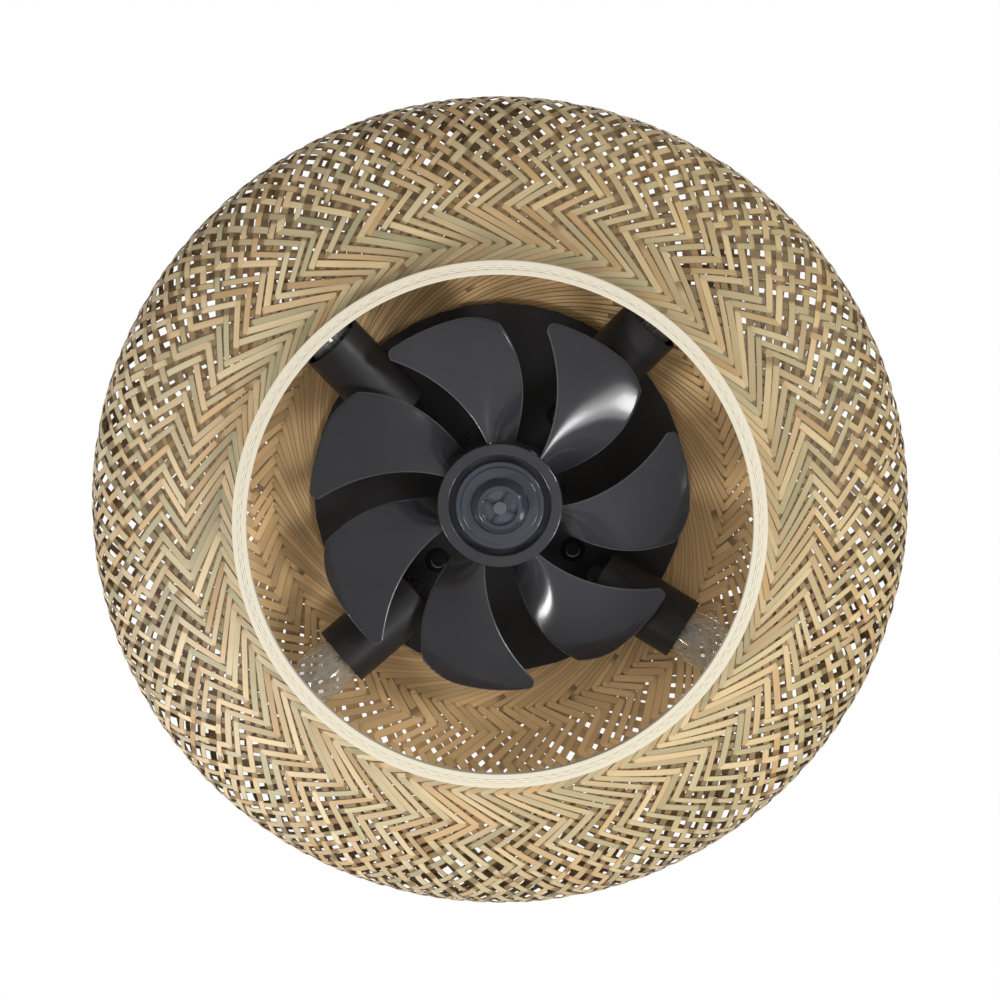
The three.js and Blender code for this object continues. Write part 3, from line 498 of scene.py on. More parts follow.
def shade_profile():
    """The shell's middle line from the mouth to the top, as evenly spaced radii and heights.

    It is |r/a|^n + |z/b|^n = 1 with a straight neck at each end, and the two corners are rounded.
    """
    turn = np.linspace(-math.pi / 2, math.pi / 2, 20001)
    radius = BELLY_RADIUS * np.cos(turn) ** (2 / FULLNESS)
    rise = np.where(turn < 0, BELLY_DROP, CROWN_RISE)
    height = np.sign(turn) * rise * np.abs(np.sin(turn)) ** (2 / FULLNESS)
    low = np.argmax(radius > MOUTH_NECK[0])
    high = len(radius) - np.argmax(radius[::-1] > TOP_NECK[0])
    radius, height = radius[low:high], height[low:high] + 0.5 * (turn[low:high] < 0)
    radius = np.concatenate([[MOUTH_NECK[0]] * 2, radius, [TOP_NECK[0]] * 2])
    height = np.concatenate([[MOUTH_NECK[1], height[0] - 0.01], height, [height[-1] + 0.01, TOP_NECK[1]]])
    length = np.concatenate([[0], np.cumsum(np.hypot(np.diff(radius), np.diff(height)))])
    even = np.linspace(0, length[-1], 6400)
    radius, height = np.interp(even, length, radius), np.interp(even, length, height)
    step = even[1]
    reach, blur = 60, 0.8
    kernel = np.exp(-0.5 * (np.arange(-reach, reach + 1) * step / blur) ** 2)
    kernel /= kernel.sum()
    smooth = [np.convolve(np.pad(line, reach, "reflect", reflect_type="odd"), kernel, "valid")
              for line in (radius, height)]
    return even, *smooth


def eased(values, low, high):
    """0 below one limit and 1 above the other, with a smooth step between."""
    share = np.clip((values - low) / (high - low), 0, 1)
    return share * share * (3 - 2 * share)


LENGTH, RADIUS, HEIGHT = shade_profile()
equator = np.argmax(RADIUS)
below = np.arange(len(LENGTH)) < equator
pull = np.where(                     # radius times the cosine of a strip's angle off the level line
    below, 148 + 0.2 * (RADIUS - 160), np.maximum(121.5, 123 + 0.53 * (RADIUS - 168))
)
LEVEL_COS = np.minimum(pull / RADIUS, np.where(below, 0.955, 0.93))
LEVEL_SIN = np.sqrt(1 - LEVEL_COS**2)
twist_rate = LEVEL_COS / LEVEL_SIN / RADIUS
TWIST = np.concatenate([[0], np.cumsum((twist_rate[1:] + twist_rate[:-1]) / 2 * np.diff(LENGTH))])
ROW = math.pi / STRIPS               # twist from one crossing to the next
ROWS = int(TWIST[-1] / ROW)
FLOATS = (                           # first row, last row, and the side of the first layer in them
    (0, 20, 1), (21, 28, -1), (29, 32, 1), (33, 35, -1), (63, 66, 1), (67, 71, -1), (72, ROWS, 1),
)


def weave_order():
    """+1 where the first layer is outside at a row of crossings and -1 where the second one is."""
    row = np.arange(ROWS + 1)
    order = np.where(row % 2 == 0, 1, -1)
    for low, high, sign in FLOATS:
        order[low:high + 1] = sign
    return order


ORDER = weave_order()


def layer_sections(side, share):
    """Strip sections of one layer, for a range of its strips: shape (strips, stations, 6 corners, 3).

    A strip's angle is its place round the mouth plus side times the twist. It is sampled just before and
    after each crossing, where it lies on its side of the middle surface, so that it changes sides between.
    Near the hoops it is tilted so that it laps over its neighbour, and between two hoops it is pressed flat
    and cut level. The tint's fourth value is 1 on a face that lies under the other layer.
    """
    rng = np.random.default_rng(11 + side)
    slip = np.clip(rng.normal(0, SLIP, STRIPS), -SLIP_LIMIT, SLIP_LIMIT)
    wave = rng.uniform(0, 2 * math.pi, (2, STRIPS))
    width = STRIP_WIDTH * rng.uniform(*STRIP_WIDTHS, STRIPS)
    tint = rng.random((STRIPS, 3))
    crossing = np.repeat(np.arange(ROWS), 2) + np.tile(CROSSING, ROWS)
    twist = np.concatenate([[0], crossing * ROW, [TWIST[-1]]])
    row = twist / ROW
    near = np.clip(np.rint(row).astype(int), 0, ROWS)
    outside = ORDER[near] * side
    length = np.interp(twist, TWIST, LENGTH)
    radius, height, level_cos, reach, rise = (
        np.interp(length, LENGTH, values)
        for values in (RADIUS, HEIGHT, LEVEL_COS, np.gradient(RADIUS, LENGTH), np.gradient(HEIGHT, LENGTH))
    )
    level_sin = np.sqrt(1 - level_cos**2)
    loose = eased(length, *MOUTH_LOOSE) * eased(LENGTH[-1] - length, *TOP_LOOSE)
    pitch = 2 * math.pi / STRIPS
    picked = np.arange(STRIPS)[share]
    wobble = np.sin(row * 0.37 + wave[0, picked, None]) + np.sin(row * 0.13 + wave[1, picked, None])
    spacing = 2 * math.pi * radius / STRIPS * level_sin
    clamped = 1 - eased(length, *MOUTH_CLAMP) * eased(LENGTH[-1] - length, *TOP_CLAMP)
    drift = (1 - clamped) * (0.3 + 0.7 * loose) * slip[picked, None] + WAVE * loose * wobble
    angle = (picked[:, None] + 0.5 * (side < 0) + drift) * pitch + side * twist[None, :]
    sheet = STRIP_SHEET * (1 + (CLAMPED_SHEET - 1) * clamped)
    past = eased(length, LENGTH[equator], LENGTH[equator] + 50)
    half = width[picked, None] / 2 * (1 + CROWN_WIDENING * past)
    half = half + clamped * (CLAMPED_HALF * spacing - half)
    lap = np.clip((2 * half / spacing - 0.92) / 0.2, 0, 1)
    tilt = np.arctan(1.1 * sheet / spacing) * lap * (1 - clamped)
    offset = outside * (sheet / 2 + LAYER_GAP + half * np.sin(tilt))

    round_ = np.stack([-np.sin(angle), np.cos(angle), np.zeros_like(angle)], -1)
    radial = np.stack([np.cos(angle), np.sin(angle), np.zeros_like(angle)], -1)
    upward = np.zeros_like(radial)
    upward[..., 2] = 1
    slope = reach[:, None] * radial + rise[:, None] * upward
    normal = rise[:, None] * radial - reach[:, None] * upward
    across = level_sin[:, None] * round_ - side * level_cos[:, None] * slope
    cos_tilt, sin_tilt = np.cos(tilt)[..., None], np.sin(tilt)[..., None]
    across, normal_leant = cos_tilt * across + sin_tilt * normal, cos_tilt * normal - sin_tilt * across
    level = (height + EQUATOR_Z / MM)[:, None]
    middle = radial * radius[:, None] + upward * level + normal * offset[..., None]
    corners = []
    level_cut = clamped[:, None] * (round_ / level_sin[:, None] - across)
    lifts = (STRIP_EDGE, 0.5 + STRIP_CROWN, STRIP_EDGE, -STRIP_EDGE, -0.5, -STRIP_EDGE)
    for place, lift in zip((-1, 0, 1, 1, 0, -1), lifts):
        aside = (across + level_cut) * (place * half)[..., None]
        corners.append(middle + aside + normal_leant * (lift * sheet)[..., None])
    sections = np.stack(corners, 2)
    bottom, top = MOUTH_NECK[1] + EQUATOR_Z / MM, TOP_NECK[1] + EQUATOR_Z / MM
    sections[..., 2] = np.clip(sections[..., 2], bottom, top)

    run = np.cumsum(np.concatenate([[0], np.diff(length)]) / level_sin)[None, :, None] / 1000
    start = rng.random(STRIPS)[picked, None, None]
    places, face = np.array([-1, 0, 1, 1, 0, -1]), np.array([0, 0, 0, 1, 1, 1])
    cut = np.zeros(sections.shape[:3])
    cut[:, [0, -1]] = 1
    under = (0.5 - 0.5 * outside[:, None] * (1 - 2 * face)) * (1 - clamped[:, None])
    kind, tone, seed = tint[picked].T[..., None, None]
    return sections, four_values(run + start, places, face, cut), four_values(kind, tone, seed, under)


STRAW_TONES = (                      # from the greenish strips to the orange-brown ones
    (0.0, (0.40, 0.36, 0.215)), (0.18, (0.51, 0.435, 0.265)), (0.55, (0.60, 0.48, 0.29)),
    (0.86, (0.61, 0.46, 0.265)), (1.0, (0.52, 0.345, 0.175)),
)
PAINTED_SHADE_SIDE = (0.95, -0.3, 0)          # painted light: the outside is paler and bluer away from this side
INNER_SHADE_SHIFT = (0, -0.022, 0)         # the painted shade inside lies a little off the axis
INNER_SHADE_REACH = (0.164, 0.186)         # and deepens between these distances from it
JOINTS_PER_METRE = 1.9


def times(colour, factor):
    """A colour multiplied by another, or by a value."""
    return maths("MULTIPLY", colour, factor, kind="VectorMath", result="Vector")


def axis_distance(tree, shift=(0, 0, 0)):
    """How far a point is from the fan's axis in metres, after it has been shifted."""
    flat = node(tree, "Mapping", Vector=on_object(tree), Location=shift, Scale=(1, 1, 0))
    return maths("LENGTH", flat.outputs[0], kind="VectorMath")


def strip_finish():
    """Split bamboo: straw to khaki strips, some greenish and some orange-brown, each with its own tone.

    The outside is weathered straw with painted light, paler and bluer on one side of the shade, and the
    inside is warmer. Fibres and stains run along the strip, a dark ring marks a joint of the cane here and
    there, and the cut ends are cream. Painted shade darkens the long edges of each strip, the strips where
    others cover them, and the inside away from the mouth.
    """
    made, tree, shader, fibre, lay, tint = bamboo_finish("split_bamboo", (0.42, 0.62), 0.4)
    along, across, face, cut = lay
    kind, tone, seed, covered = tint
    kinds = node(tree, "ValToRGB", Fac=kind)
    kinds.color_ramp.interpolation = "EASE"
    for place, _ in STRAW_TONES[1:-1]:
        kinds.color_ramp.elements.new(place)
    for element, (place, colour) in zip(kinds.color_ramp.elements, STRAW_TONES):
        element.position = place
        element.color = (*colour, 1)
    tone = ranged(tone, 0, 1, 0.8, 1.16)
    darker = between(fibre, (0.72, 0.7, 0.66), (1.12, 1.12, 1.12))
    straw = times(times(kinds.outputs["Color"], darker), tone)
    stain = ranged(streaks(tree, (along, seed), (11.0, 90.0, 1.0), 3.0), 0.5, 0.72)
    straw = between(stain, straw, (0.44, 0.315, 0.165))
    # Painted light: the outside is paler and bluer away from one side, and warmer and darker towards it.
    side = maths("DOT_PRODUCT", on_object(tree), PAINTED_SHADE_SIDE, kind="VectorMath")
    painted_side_light = between(ranged(side, -0.2, 0.2), (1.1, 1.11, 1.17), (1.04, 1.0, 0.89))
    warm = times(between(fibre, (0.69, 0.435, 0.195), (0.92, 0.62, 0.3)), tone)
    # Painted shade: the inside darkens away from the axis, past the mouth, where little light reaches.
    painted_inner_shade = ranged(axis_distance(tree, INNER_SHADE_SHIFT), *INNER_SHADE_REACH, 1.0, 0.28)
    colour = between(face, times(straw, painted_side_light), times(warm, painted_inner_shade))

    ring_place = maths("MULTIPLY_ADD", along, JOINTS_PER_METRE, seed)
    ring = ranged(maths("FRACT", ring_place), 0.985, 0.995)
    colour = between(ring, colour, (0.3, 0.19, 0.09))
    # Painted shade: the long edges of each strip are darkened, like shadow lines between neighbours.
    rim = ranged(maths("ABSOLUTE", across), 0.74, 1.0, 0.0, 0.55)
    colour = between(rim, colour, (0.2, 0.13, 0.06))
    # Painted shade: a strip is darker where it passes under the other layer.
    painted_under_shade = between(face, (0.46, 0.40, 0.325), (0.68, 0.62, 0.53))
    colour = between(ranged(covered, 0.55, 0.95), colour, times(colour, painted_under_shade))
    feed(shader.inputs["Base Color"], between(cut, colour, (0.76, 0.70, 0.55)))
    return made


split_bamboo = strip_finish()
SHADE_BANDS = ["shade_mouth_band", "shade_belly_band", "shade_crown_band"]
for layer, side in (("right", 1), ("left", -1)):
    for half_number, share in ((1, slice(0, 60)), (2, slice(60, 120))):
        sections, lay, tint = layer_sections(side, share)
        new_piece(
            f"{layer}_hand_strips_{half_number}", lofted(sections), split_bamboo, "bamboo_weave",
            SHADE_BANDS, sharp=40, lay=lay, tint=tint,
        )

# ------------------------------------------------------------------ lamps
# Four short steel sleeves, black like the pan, each held on a folded bracket by a threaded tube and its
# nut. Inside are a white lampholder and a clear filament bulb, whose glass stands out of the sleeve.

LAMP_AZIMUTHS = (40, 130.5, 220, 308.5)
LAMP_TURNS = (-9, 9.5, 7.5, 5.5)
LAMP_DIP = 10
LAMP_SEAT_RADIUS = 83
LAMP_AXIS_DROP = 20 * math.cos(math.radians(LAMP_DIP)) + 1.2      # sleeve's radius, bracket's sheet
PLATE_Z = -70
CAP_BACK, CAP_END = 10.5, 39.5       # along the lamp's axis from the sleeve's inner end
GLASS_BACK, GLASS_LENGTH = 35.5, 61


def at_lamp(points, index):
    """Points along a lamp's axis, x towards its mouth, moved to where that lamp is fixed."""
    azimuth = math.radians(LAMP_AZIMUTHS[index])
    heading = azimuth + math.radians(LAMP_TURNS[index])
    seat = (LAMP_SEAT_RADIUS * math.cos(azimuth), LAMP_SEAT_RADIUS * math.sin(azimuth), PLATE_Z)
    arm = Matrix.Translation((0, 0, -LAMP_AXIS_DROP)) @ Matrix.Rotation(math.radians(LAMP_DIP), 4, "Y")
    place = np.array(Matrix.Translation(seat) @ Matrix.Rotation(heading, 4, "Z") @ arm)
    return points @ place[:3, :3].T + place[:3, 3]


def turned(rows, sides):
    """Sections of a body turned about the X axis: (x, r cos a, r sin a) for each row (r, x) and angle a."""
    radius, along = np.asarray(rows, float).T
    angle = np.linspace(0, 2 * math.pi, sides, endpoint=False)[:, None]
    return np.stack(
        np.broadcast_arrays(along[None, :], radius * np.cos(angle), radius * np.sin(angle)), -1
    )[None]


def glass_rows():
    """The bulb's outline as (radius, place): a neck, a slow swell, half an ellipse, and back inside."""
    neck, belly, wall, swell_from, swell_to = 11.9, 16.6, 0.9, 6.0, 44.0
    climb = np.sin(np.linspace(0, math.pi / 2, 15)[1:])
    place = np.concatenate([np.linspace(0, swell_to, 18), swell_to + (GLASS_LENGTH - swell_to) * climb])
    swell = neck + (belly - neck) * eased(place, swell_from, swell_to)
    past = np.clip((place - swell_to) / (GLASS_LENGTH - swell_to), 0, 1)
    radius = np.where(place < swell_to, swell, belly * np.sqrt(1 - past**2))
    inner = np.stack([np.clip(radius - wall, 0, None), np.minimum(place, GLASS_LENGTH - wall)], 1)
    return np.concatenate([np.stack([radius, place], 1), inner[::-1]]) + np.array([0, GLASS_BACK])


def cap_rows():
    """A screw cap's outline: contact, shoulder, rolled thread r = 12.85 + 0.42 cos(turns), skirt."""
    place = np.linspace(18, 34, 49)
    thread = 12.85 + 0.42 * np.cos((place - place[0]) / 3.6 * 2 * math.pi)
    outer = [(0, CAP_BACK), (3.6, CAP_BACK), (4.0, 11.2), (4.4, 12.4), (10.6, 15.6), (12.4, 17.2)]
    skirt = [(13.2, 35), (13.2, CAP_END)]
    inner = [(12.4, CAP_END), (12.1, 36), (12.1, 20), (0, 20)]
    return np.concatenate([outer, np.stack([thread, place], 1), skirt, inner])


def wire_sections(path, radius, corners=6):
    """Round wires along paths of shape (wires, stations, 3): a ring of corners square to each station."""
    ahead = np.gradient(path, axis=1)
    ahead /= np.linalg.norm(ahead, axis=-1, keepdims=True)
    sideways = np.cross(ahead, [0.31, 0.17, 0.93])      # a direction that no wire runs along
    sideways /= np.linalg.norm(sideways, axis=-1, keepdims=True)
    third = np.cross(ahead, sideways)
    angle = np.linspace(0, 2 * math.pi, corners, endpoint=False)
    ring = np.cos(angle)[:, None] * sideways[:, :, None] + np.sin(angle)[:, None] * third[:, :, None]
    return path[:, :, None, :] + radius * ring


def filament_paths():
    """Eight straight strands of filament round a glass stem, and the two leads that carry them."""
    angle = np.linspace(0, 2 * math.pi, 8, endpoint=False)
    low, high = GLASS_BACK + 17, GLASS_BACK + 52
    place = np.linspace(low, high, 9)
    lean = np.linspace(0.3, 1.0, 9)
    radius = 2.8 + 2.6 * np.sin(np.linspace(0.25, 2.6, 9))
    turn = angle[:, None] + 0.5 * lean[None, :]
    strands = np.stack(np.broadcast_arrays(place, radius * np.cos(turn), radius * np.sin(turn)), -1)
    lead_place = np.linspace(GLASS_BACK - 4, high + 1.5, 9)
    spread = np.array([1.6, 1.6, 1.5, 1.3, 1.1, 1.0, 1.0, 1.0, 1.0])
    leads = np.stack([np.stack([lead_place, sign * spread, np.zeros(9)], -1) for sign in (1, -1)])
    return strands, leads


def stem_rows():
    """The glass stem inside the bulb: a flared foot that narrows to a pinched rod."""
    return np.array([
        (0, 38), (8.6, 38.4), (6.2, 41), (3.2, 46), (2.2, 52), (1.9, 60), (2.2, 66), (1.1, 68),
        (1.0, 84), (1.6, 86), (0, 87.4),
    ])


clear_glass, tree, shader = new_material("clear_glass", Transmission_Weight=0.9, IOR=1.5)
smear = placed_group(tree, mottle, Scale=60.0, Low=0.0, High=0.03)
skinned(shader, (0.955, 0.965, 0.93, 1), smear, 60.0, 0.05)
filament_metal = worn_finish(
    "filament", (0.62, 0.58, 0.48), (0.75, 0.71, 0.6), (0.3, 0.45), cloud=400.0, bump=0.05, Metallic=0.4
)
LAMP_SOLIDS = (                      # node, material, rounding
    ("lamp_bracket", black_paint, 0.25), ("lamp_nipple", black_paint, 0.15),
    ("lamp_sleeve", black_paint, 0.35), ("lampholder", white_plastic, 0.4),
)
TURNED_PARTS = (                     # piece, node that it replaces, outline, sides, material, slot, sharp
    ("bulb", "bulb_glass", glass_rows(), 64, clear_glass, "clear_glass", 60),
    ("screw_cap", "bulb_cap", cap_rows(), 48, bright_steel, "bright_steel", 50),
    ("bulb_stem", None, stem_rows(), 24, clear_glass, "clear_glass", 70),
)
strands, leads = filament_paths()
wires, wire_faces = lofted(np.concatenate([wire_sections(strands, 0.22), wire_sections(leads, 0.28)]))

for index in range(4):
    number = index + 1
    for part, material, edge in LAMP_SOLIDS:
        dressed(f"{part}_{number}", material, edge)
    for part, replaced, rows, sides, material, slot, sharp in TURNED_PARTS:
        points, faces = lofted(turned(rows, sides), ring=True)
        new_piece(
            f"{part}_{number}", (at_lamp(points, index), faces), material, slot,
            [f"{replaced}_{number}"] if replaced else (), sharp=sharp, poles=True,
        )
    new_piece(
        f"filament_{number}", (at_lamp(wires, index), wire_faces), filament_metal, "bright_steel", sharp=80
    )

# ------------------------------------------------------------------ wire grommets
# Soft black rings pressed into the four holes of the plate, so that the sheet's edge can't cut the lamp
# wires. Each has a rounded lip on both sides of the sheet.

GROMMET_CIRCLE = 61
black_rubber = worn_finish(
    "black_rubber", (0.007, 0.007, 0.007), (0.014, 0.014, 0.014), (0.7, 0.85), cloud=80.0, grain=1500.0,
    bump=0.2, Specular_IOR_Level=0.15,
)


def upright(sections):
    """Turns a body made about the X axis so that it stands along Z, x becoming height."""
    return np.stack([sections[..., 1], sections[..., 2], sections[..., 0]], -1)


def grommet_rows():
    """Section of a grommet: two rounded lips joined by a thin wall, as (radius, height)."""
    half = np.linspace(-math.pi / 2, math.pi / 2, 9)
    low, high = (
        np.stack([7.1 + 0.7 * np.cos(half), level + 0.75 * np.sin(half)], 1) for level in (-71.1, -66.9)
    )
    bore = [(5.2, -66.2), (4.6, -66.6), (4.6, -71.4), (5.2, -71.8)]
    return np.concatenate([low, [(6.1, -70.2), (6.1, -67.8)], high, bore])


for number, azimuth in enumerate(np.radians(LAMP_AZIMUTHS), 1):
    points, faces = lofted(upright(turned(grommet_rows(), 40)), ring=True)
    points = points + GROMMET_CIRCLE * np.array([np.cos(azimuth), np.sin(azimuth), 0])
    new_piece(
        f"grommet_{number}", (points, faces), black_rubber, "black_rubber",
        [f"wire_grommet_{number}"], sharp=50,
    )

# ------------------------------------------------------------------ motor
# Two pressed zinc cups bolted to the plate, with a laminated stator and its copper windings inside. The
# magnet rotor, the shaft and the inner races turn with the impeller, and the balls run between the races.


def ridged_metal(name, low, high, scale, distortion, bump, rough):
    """Level lines of two colours that stand up in ridges: stacked sheets, or wire laid side by side."""
    made, tree, shader = new_material(name, Metallic=1.0, Roughness=rough)
    lines = node(
        tree, "TexWave", Vector=on_object(tree), bands_direction="Z", Scale=scale, Distortion=distortion
    ).outputs["Fac"]
    feed(shader.inputs["Base Color"], between(lines, low, high))
    ridges = node(tree, "Bump", Height=lines, Strength=bump, Distance=0.0002)
    feed(shader.inputs["Normal"], ridges.outputs[0])
    return made


magnet = worn_finish(
    "magnet", (0.035, 0.035, 0.038), (0.06, 0.06, 0.065), (0.5, 0.65), cloud=120.0, bump=0.2
)
laminated_steel = ridged_metal("laminations", (0.2, 0.2, 0.21), (0.5, 0.5, 0.51), 320.0, 0.4, 0.4, 0.45)
wound_copper = ridged_metal("copper", (0.24, 0.07, 0.02), (0.66, 0.26, 0.1), 420.0, 1.2, 0.6, 0.32)
dressed("stator_core", laminated_steel, 0.1)
dressed("stator_windings", wound_copper, 0.3)
dressed("rotor_core", magnet, 0.3)
dressed("motor_shaft", magnet, 0.15)
for number in (1, 2, 3):
    dressed(f"motor_screw_{number}", black_paint, 0.15)
for place in ("lower", "upper"):
    dressed(f"motor_housing_{place}", zinc, 0.4)
    for part in ("outer_race", "inner_race", "ball_cage"):
        dressed(f"{place}_bearing_{part}", bright_steel, 0.1)

# ------------------------------------------------------------------ impeller
# One moulding of smoked plastic: a cupped hub and seven swept blades. A blade is a thin twisted sheet
# whose leading edge stands high at the root, and it is rounded at the tip and at both edges.

BLADES = 7
TIP_RADIUS = 117.6
HUB_RADIUS = 38.6
HUB_FACE_Z = -133.0
BLADE_SHEET = 1.6
BLADE_EDGE = 1.1                     # how far the rounding of an edge reaches in
PAINTED_HIGHLIGHT_WIDTH = 0.9                       # width of the pale line painted along the edges as a highlight
SWEEPS = ((130.5, 15, 1.9), (103.8, 24.7, 1.05))      # each edge's angle at the root, fall and lateness
RISES = ((11, 15, 1.8), (0.9, 3.1, 1))                # its height at the tip, rise to the root and lateness
SEAM_SHIFT = 10.22                   # turns the hub's seams, in blades


def blade_surface(u, v):
    """A point of the first blade's lower face: u across it from the leading edge, v from root to tip.

    The radius goes from the hub to the tip, which is cut back at the two corners. The angle and the
    height go between those of the two edges, and the edges sweep back and flatten towards the tip.
    """
    lead = np.maximum(0, 1 - u / 0.27)
    trail = np.maximum(0, (u - 0.88) / 0.12)
    tip = TIP_RADIUS * (1 - 0.05 * (lead**2 + trail**2))
    root = HUB_RADIUS - 1.2
    radius = root + v * (tip - root)
    out = np.maximum(0, (radius - HUB_RADIUS) / (TIP_RADIUS * 0.95 - HUB_RADIUS))
    lead_angle, trail_angle = (start - fall * out**late for start, fall, late in SWEEPS)
    angle = np.radians(lead_angle + (trail_angle - lead_angle) * u)
    inward = np.maximum(0, 1 - out)
    lead_z, trail_z = (HUB_FACE_Z + low + rise * inward**late for low, rise, late in RISES)
    height = lead_z + (trail_z - lead_z) * (1 - (1 - u) ** 1.7)
    return np.stack([radius * np.cos(angle), radius * np.sin(angle), height], -1)


def blade_sections():
    """Sections of all the blades: along the lower face and back along the upper, rounded at the rim.

    The second array is 1 on the rim and falls to 0 inwards, for a painted highlight along the edges.
    """
    across = (1 - np.cos(np.linspace(0, math.pi, 33))) / 2
    along = np.sin(np.linspace(0, math.pi / 2, 41)) * 0.999 + 0.001 * np.linspace(0, 1, 41)
    u, v = np.meshgrid(across, along)
    lower = blade_surface(u, v)
    chord = np.linalg.norm(lower[:, -1:] - lower[:, :1], axis=-1)
    inset = np.minimum(np.minimum(u, 1 - u) * chord, (1 - v) * (TIP_RADIUS - HUB_RADIUS))
    sheet = BLADE_SHEET * np.sqrt(np.clip(1 - (1 - np.clip(inset / BLADE_EDGE, 0, 1)) ** 2, 0.0004, 1))
    rise = (BLADE_SHEET - sheet) / 2
    up = np.array([0, 0, 1.0])
    bottom = lower + up * rise[..., None]
    top = lower + up * (rise + sheet)[..., None]
    first = np.concatenate([bottom, top[:, ::-1]], 1)
    turns = np.arange(BLADES) * 2 * math.pi / BLADES
    cos, sin, none = np.cos(turns), np.sin(turns), 0 * turns
    spin = np.array([[cos, -sin, none], [sin, cos, none], [none, none, none + 1]])
    rim = np.clip(1 - np.concatenate([inset, inset[:, ::-1]], 1) / PAINTED_HIGHLIGHT_WIDTH, 0, 1)
    outline = np.tile(four_values(rim, rim, rim, 1.0), (BLADES, 1))
    return np.einsum("ijb,skj->bski", spin, first), outline


def hub_rows():
    """Section of the hub: a flat ring face with bevelled edges, a deep skirt, and a recess with a boss."""
    face, rim = HUB_FACE_Z, HUB_FACE_Z + 32
    floor = face + 10
    return [
        (32.3, face), (37.6, face), (38.0, face + 0.06), (38.35, face + 0.3), (38.55, face + 0.65),
        (38.6, face + 1.1), (38.6, rim), (36.1, rim), (36.1, face + 2.5),
        (34.0, face + 2.5), (34.0, floor + 2.5), (8, floor + 2.5), (8, floor + 11), (4.0, floor + 11),
        (4.0, floor), (31.5, floor), (31.5, face + 0.9), (31.57, face + 0.5), (31.75, face + 0.2),
        (32.0, face + 0.04),
    ]


def smoked_finish():
    """Smoked plastic: near black, a little see-through, glossy, with faint seams on the hub's face."""
    made, tree, shader = new_material("smoked_plastic", Specular_IOR_Level=0.6, IOR=1.49, Alpha=0.86)
    place = node(tree, "SeparateXYZ", Vector=on_object(tree)).outputs
    turn = maths("ARCTAN2", place[1], place[0])
    sector = maths("MULTIPLY_ADD", turn, BLADES / (2 * math.pi), SEAM_SHIFT)
    seam = ranged(maths("FRACT", sector), 0.012, 0.004)
    inside = ranged(axis_distance(tree), HUB_RADIUS * MM, (HUB_RADIUS - 0.1) * MM)
    clouds = placed_group(tree, mottle, Scale=18.0)
    colour = between(clouds, (0.039, 0.0395, 0.046), (0.049, 0.05, 0.059))
    colour = between(maths("MULTIPLY", seam, inside), colour, (0.008, 0.009, 0.012))
    # Painted highlight: a pale line along the blades' edges, where rounded edges catch the light.
    rim = node(tree, "Attribute", attribute_name="rim")
    colour = between(rim.outputs["Fac"], colour, (0.17, 0.175, 0.185))
    gloss = placed_group(tree, mottle, Scale=30.0, Low=0.1, High=0.15)
    skinned(shader, colour, gloss, 45.0, 0.06)
    return made


smoked_plastic = smoked_finish()
blades, outline = blade_sections()
new_piece(
    "impeller_blades", lofted(blades), smoked_plastic, "smoked_plastic", ["impeller"], "rotor", sharp=60,
    rim=outline,
)
new_piece(
    "impeller_hub", lofted(upright(turned(hub_rows(), 140)), ring=True), smoked_plastic, "smoked_plastic",
    ["impeller"], "rotor", sharp=30,
)

# ------------------------------------------------------------------ spinner
# A clear blue-grey nut that holds the impeller on the shaft, with a left-hand thread in its middle tube.
# It fills the hub's recess and has a tapered finger grip, stiffened by four webs inside.


def rounded_corner(radius, level, size):
    """Five points of a quarter circle about (radius, level), from its lowest to its outermost."""
    quarter = np.radians(np.linspace(0, 90, 5))
    return np.stack([radius + size * np.sin(quarter), level - size * np.cos(quarter)], 1)


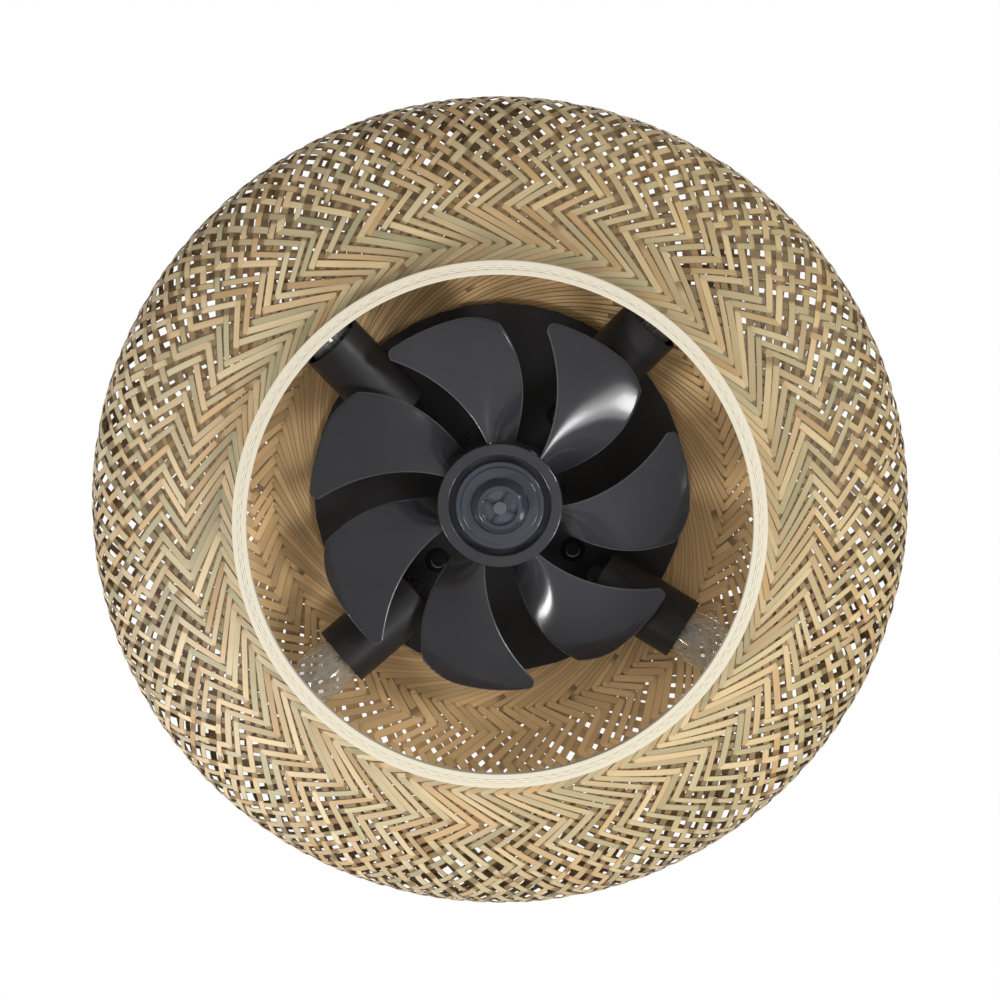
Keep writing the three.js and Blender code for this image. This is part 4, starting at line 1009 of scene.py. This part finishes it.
def spinner_rows():
    """Section of the spinner, as (radius, height): boss, shallow cup, grip, flat rim, then the inside."""
    face = HUB_FACE_Z - 0.8
    grip = face - 7.4
    cup = grip + 2.6
    back = HUB_FACE_Z + 9.7
    return np.concatenate([
        [(0, grip - 1.0)], rounded_corner(3.5, grip - 0.4, 0.6),
        [(4.1, cup), (10.2, cup), (10.9, grip + 1.2), (11.3, grip)], rounded_corner(13.1, grip + 0.8, 0.8),
        [(16.4, face - 1.6), (16.9, face - 0.5), (17.4, face + 0.5), (17.9, face)],
        rounded_corner(23.3, face + 0.7, 0.7), [(24.0, face + 1.4)], rounded_corner(26.5, face + 2.2, 0.8),
        [(27.3, back), (25.1, back), (25.1, face + 3.4), (15.4, face + 3.0), (11.9, cup + 2.0),
         (5.9, cup + 2.0), (5.9, back), (4.0, back), (4.0, cup + 1.6), (0, cup + 1.6)],
    ])


def web_sections():
    """Four upright webs in the cup: thin boxes from the boss out to its wall, lower than the lip."""
    turns = np.radians(25 + 90 * np.arange(4))
    ahead = np.stack([np.cos(turns), np.sin(turns)], -1)
    aside = np.stack([-np.sin(turns), np.cos(turns)], -1)
    stations = []
    for level, reach in ((HUB_FACE_Z - 5.8, 10.1), (HUB_FACE_Z - 7.4, 10.7)):
        corners = ((3.9, -0.4), (3.9, 0.4), (reach, 0.4), (reach, -0.4))
        stations.append(np.stack([
            np.concatenate([ahead * along + aside * across, np.full((4, 1), level)], 1)
            for along, across in corners
        ], 1))
    return np.stack(stations, 1)


def spinner_finish():
    """Tinted clear plastic, bluer and paler in the middle, and palest on the boss."""
    made, tree, shader = new_material("clear_plastic", Transmission_Weight=0.3, IOR=1.5)
    reach = axis_distance(tree)
    clouds = placed_group(tree, mottle, Scale=50.0)
    colour = between(clouds, (0.061, 0.066, 0.086), (0.074, 0.081, 0.105))
    colour = between(ranged(reach, 0.0115, 0.0105), colour, (0.09, 0.104, 0.134))
    colour = between(ranged(reach, 0.0045, 0.0041), colour, (0.135, 0.143, 0.165))
    gloss = placed_group(tree, mottle, Scale=60.0, Low=0.06, High=0.12)
    skinned(shader, colour, gloss, 90.0, 0.05)
    return made


clear_plastic = spinner_finish()
new_piece(
    "spinner_nut", lofted(upright(turned(spinner_rows(), 128)), ring=True), clear_plastic, "clear_plastic",
    ["spinner"], "rotor", sharp=30, poles=True,
)
new_piece(
    "spinner_webs", lofted(web_sections()), smoked_plastic, "clear_plastic", ["spinner"], "rotor", sharp=30
)
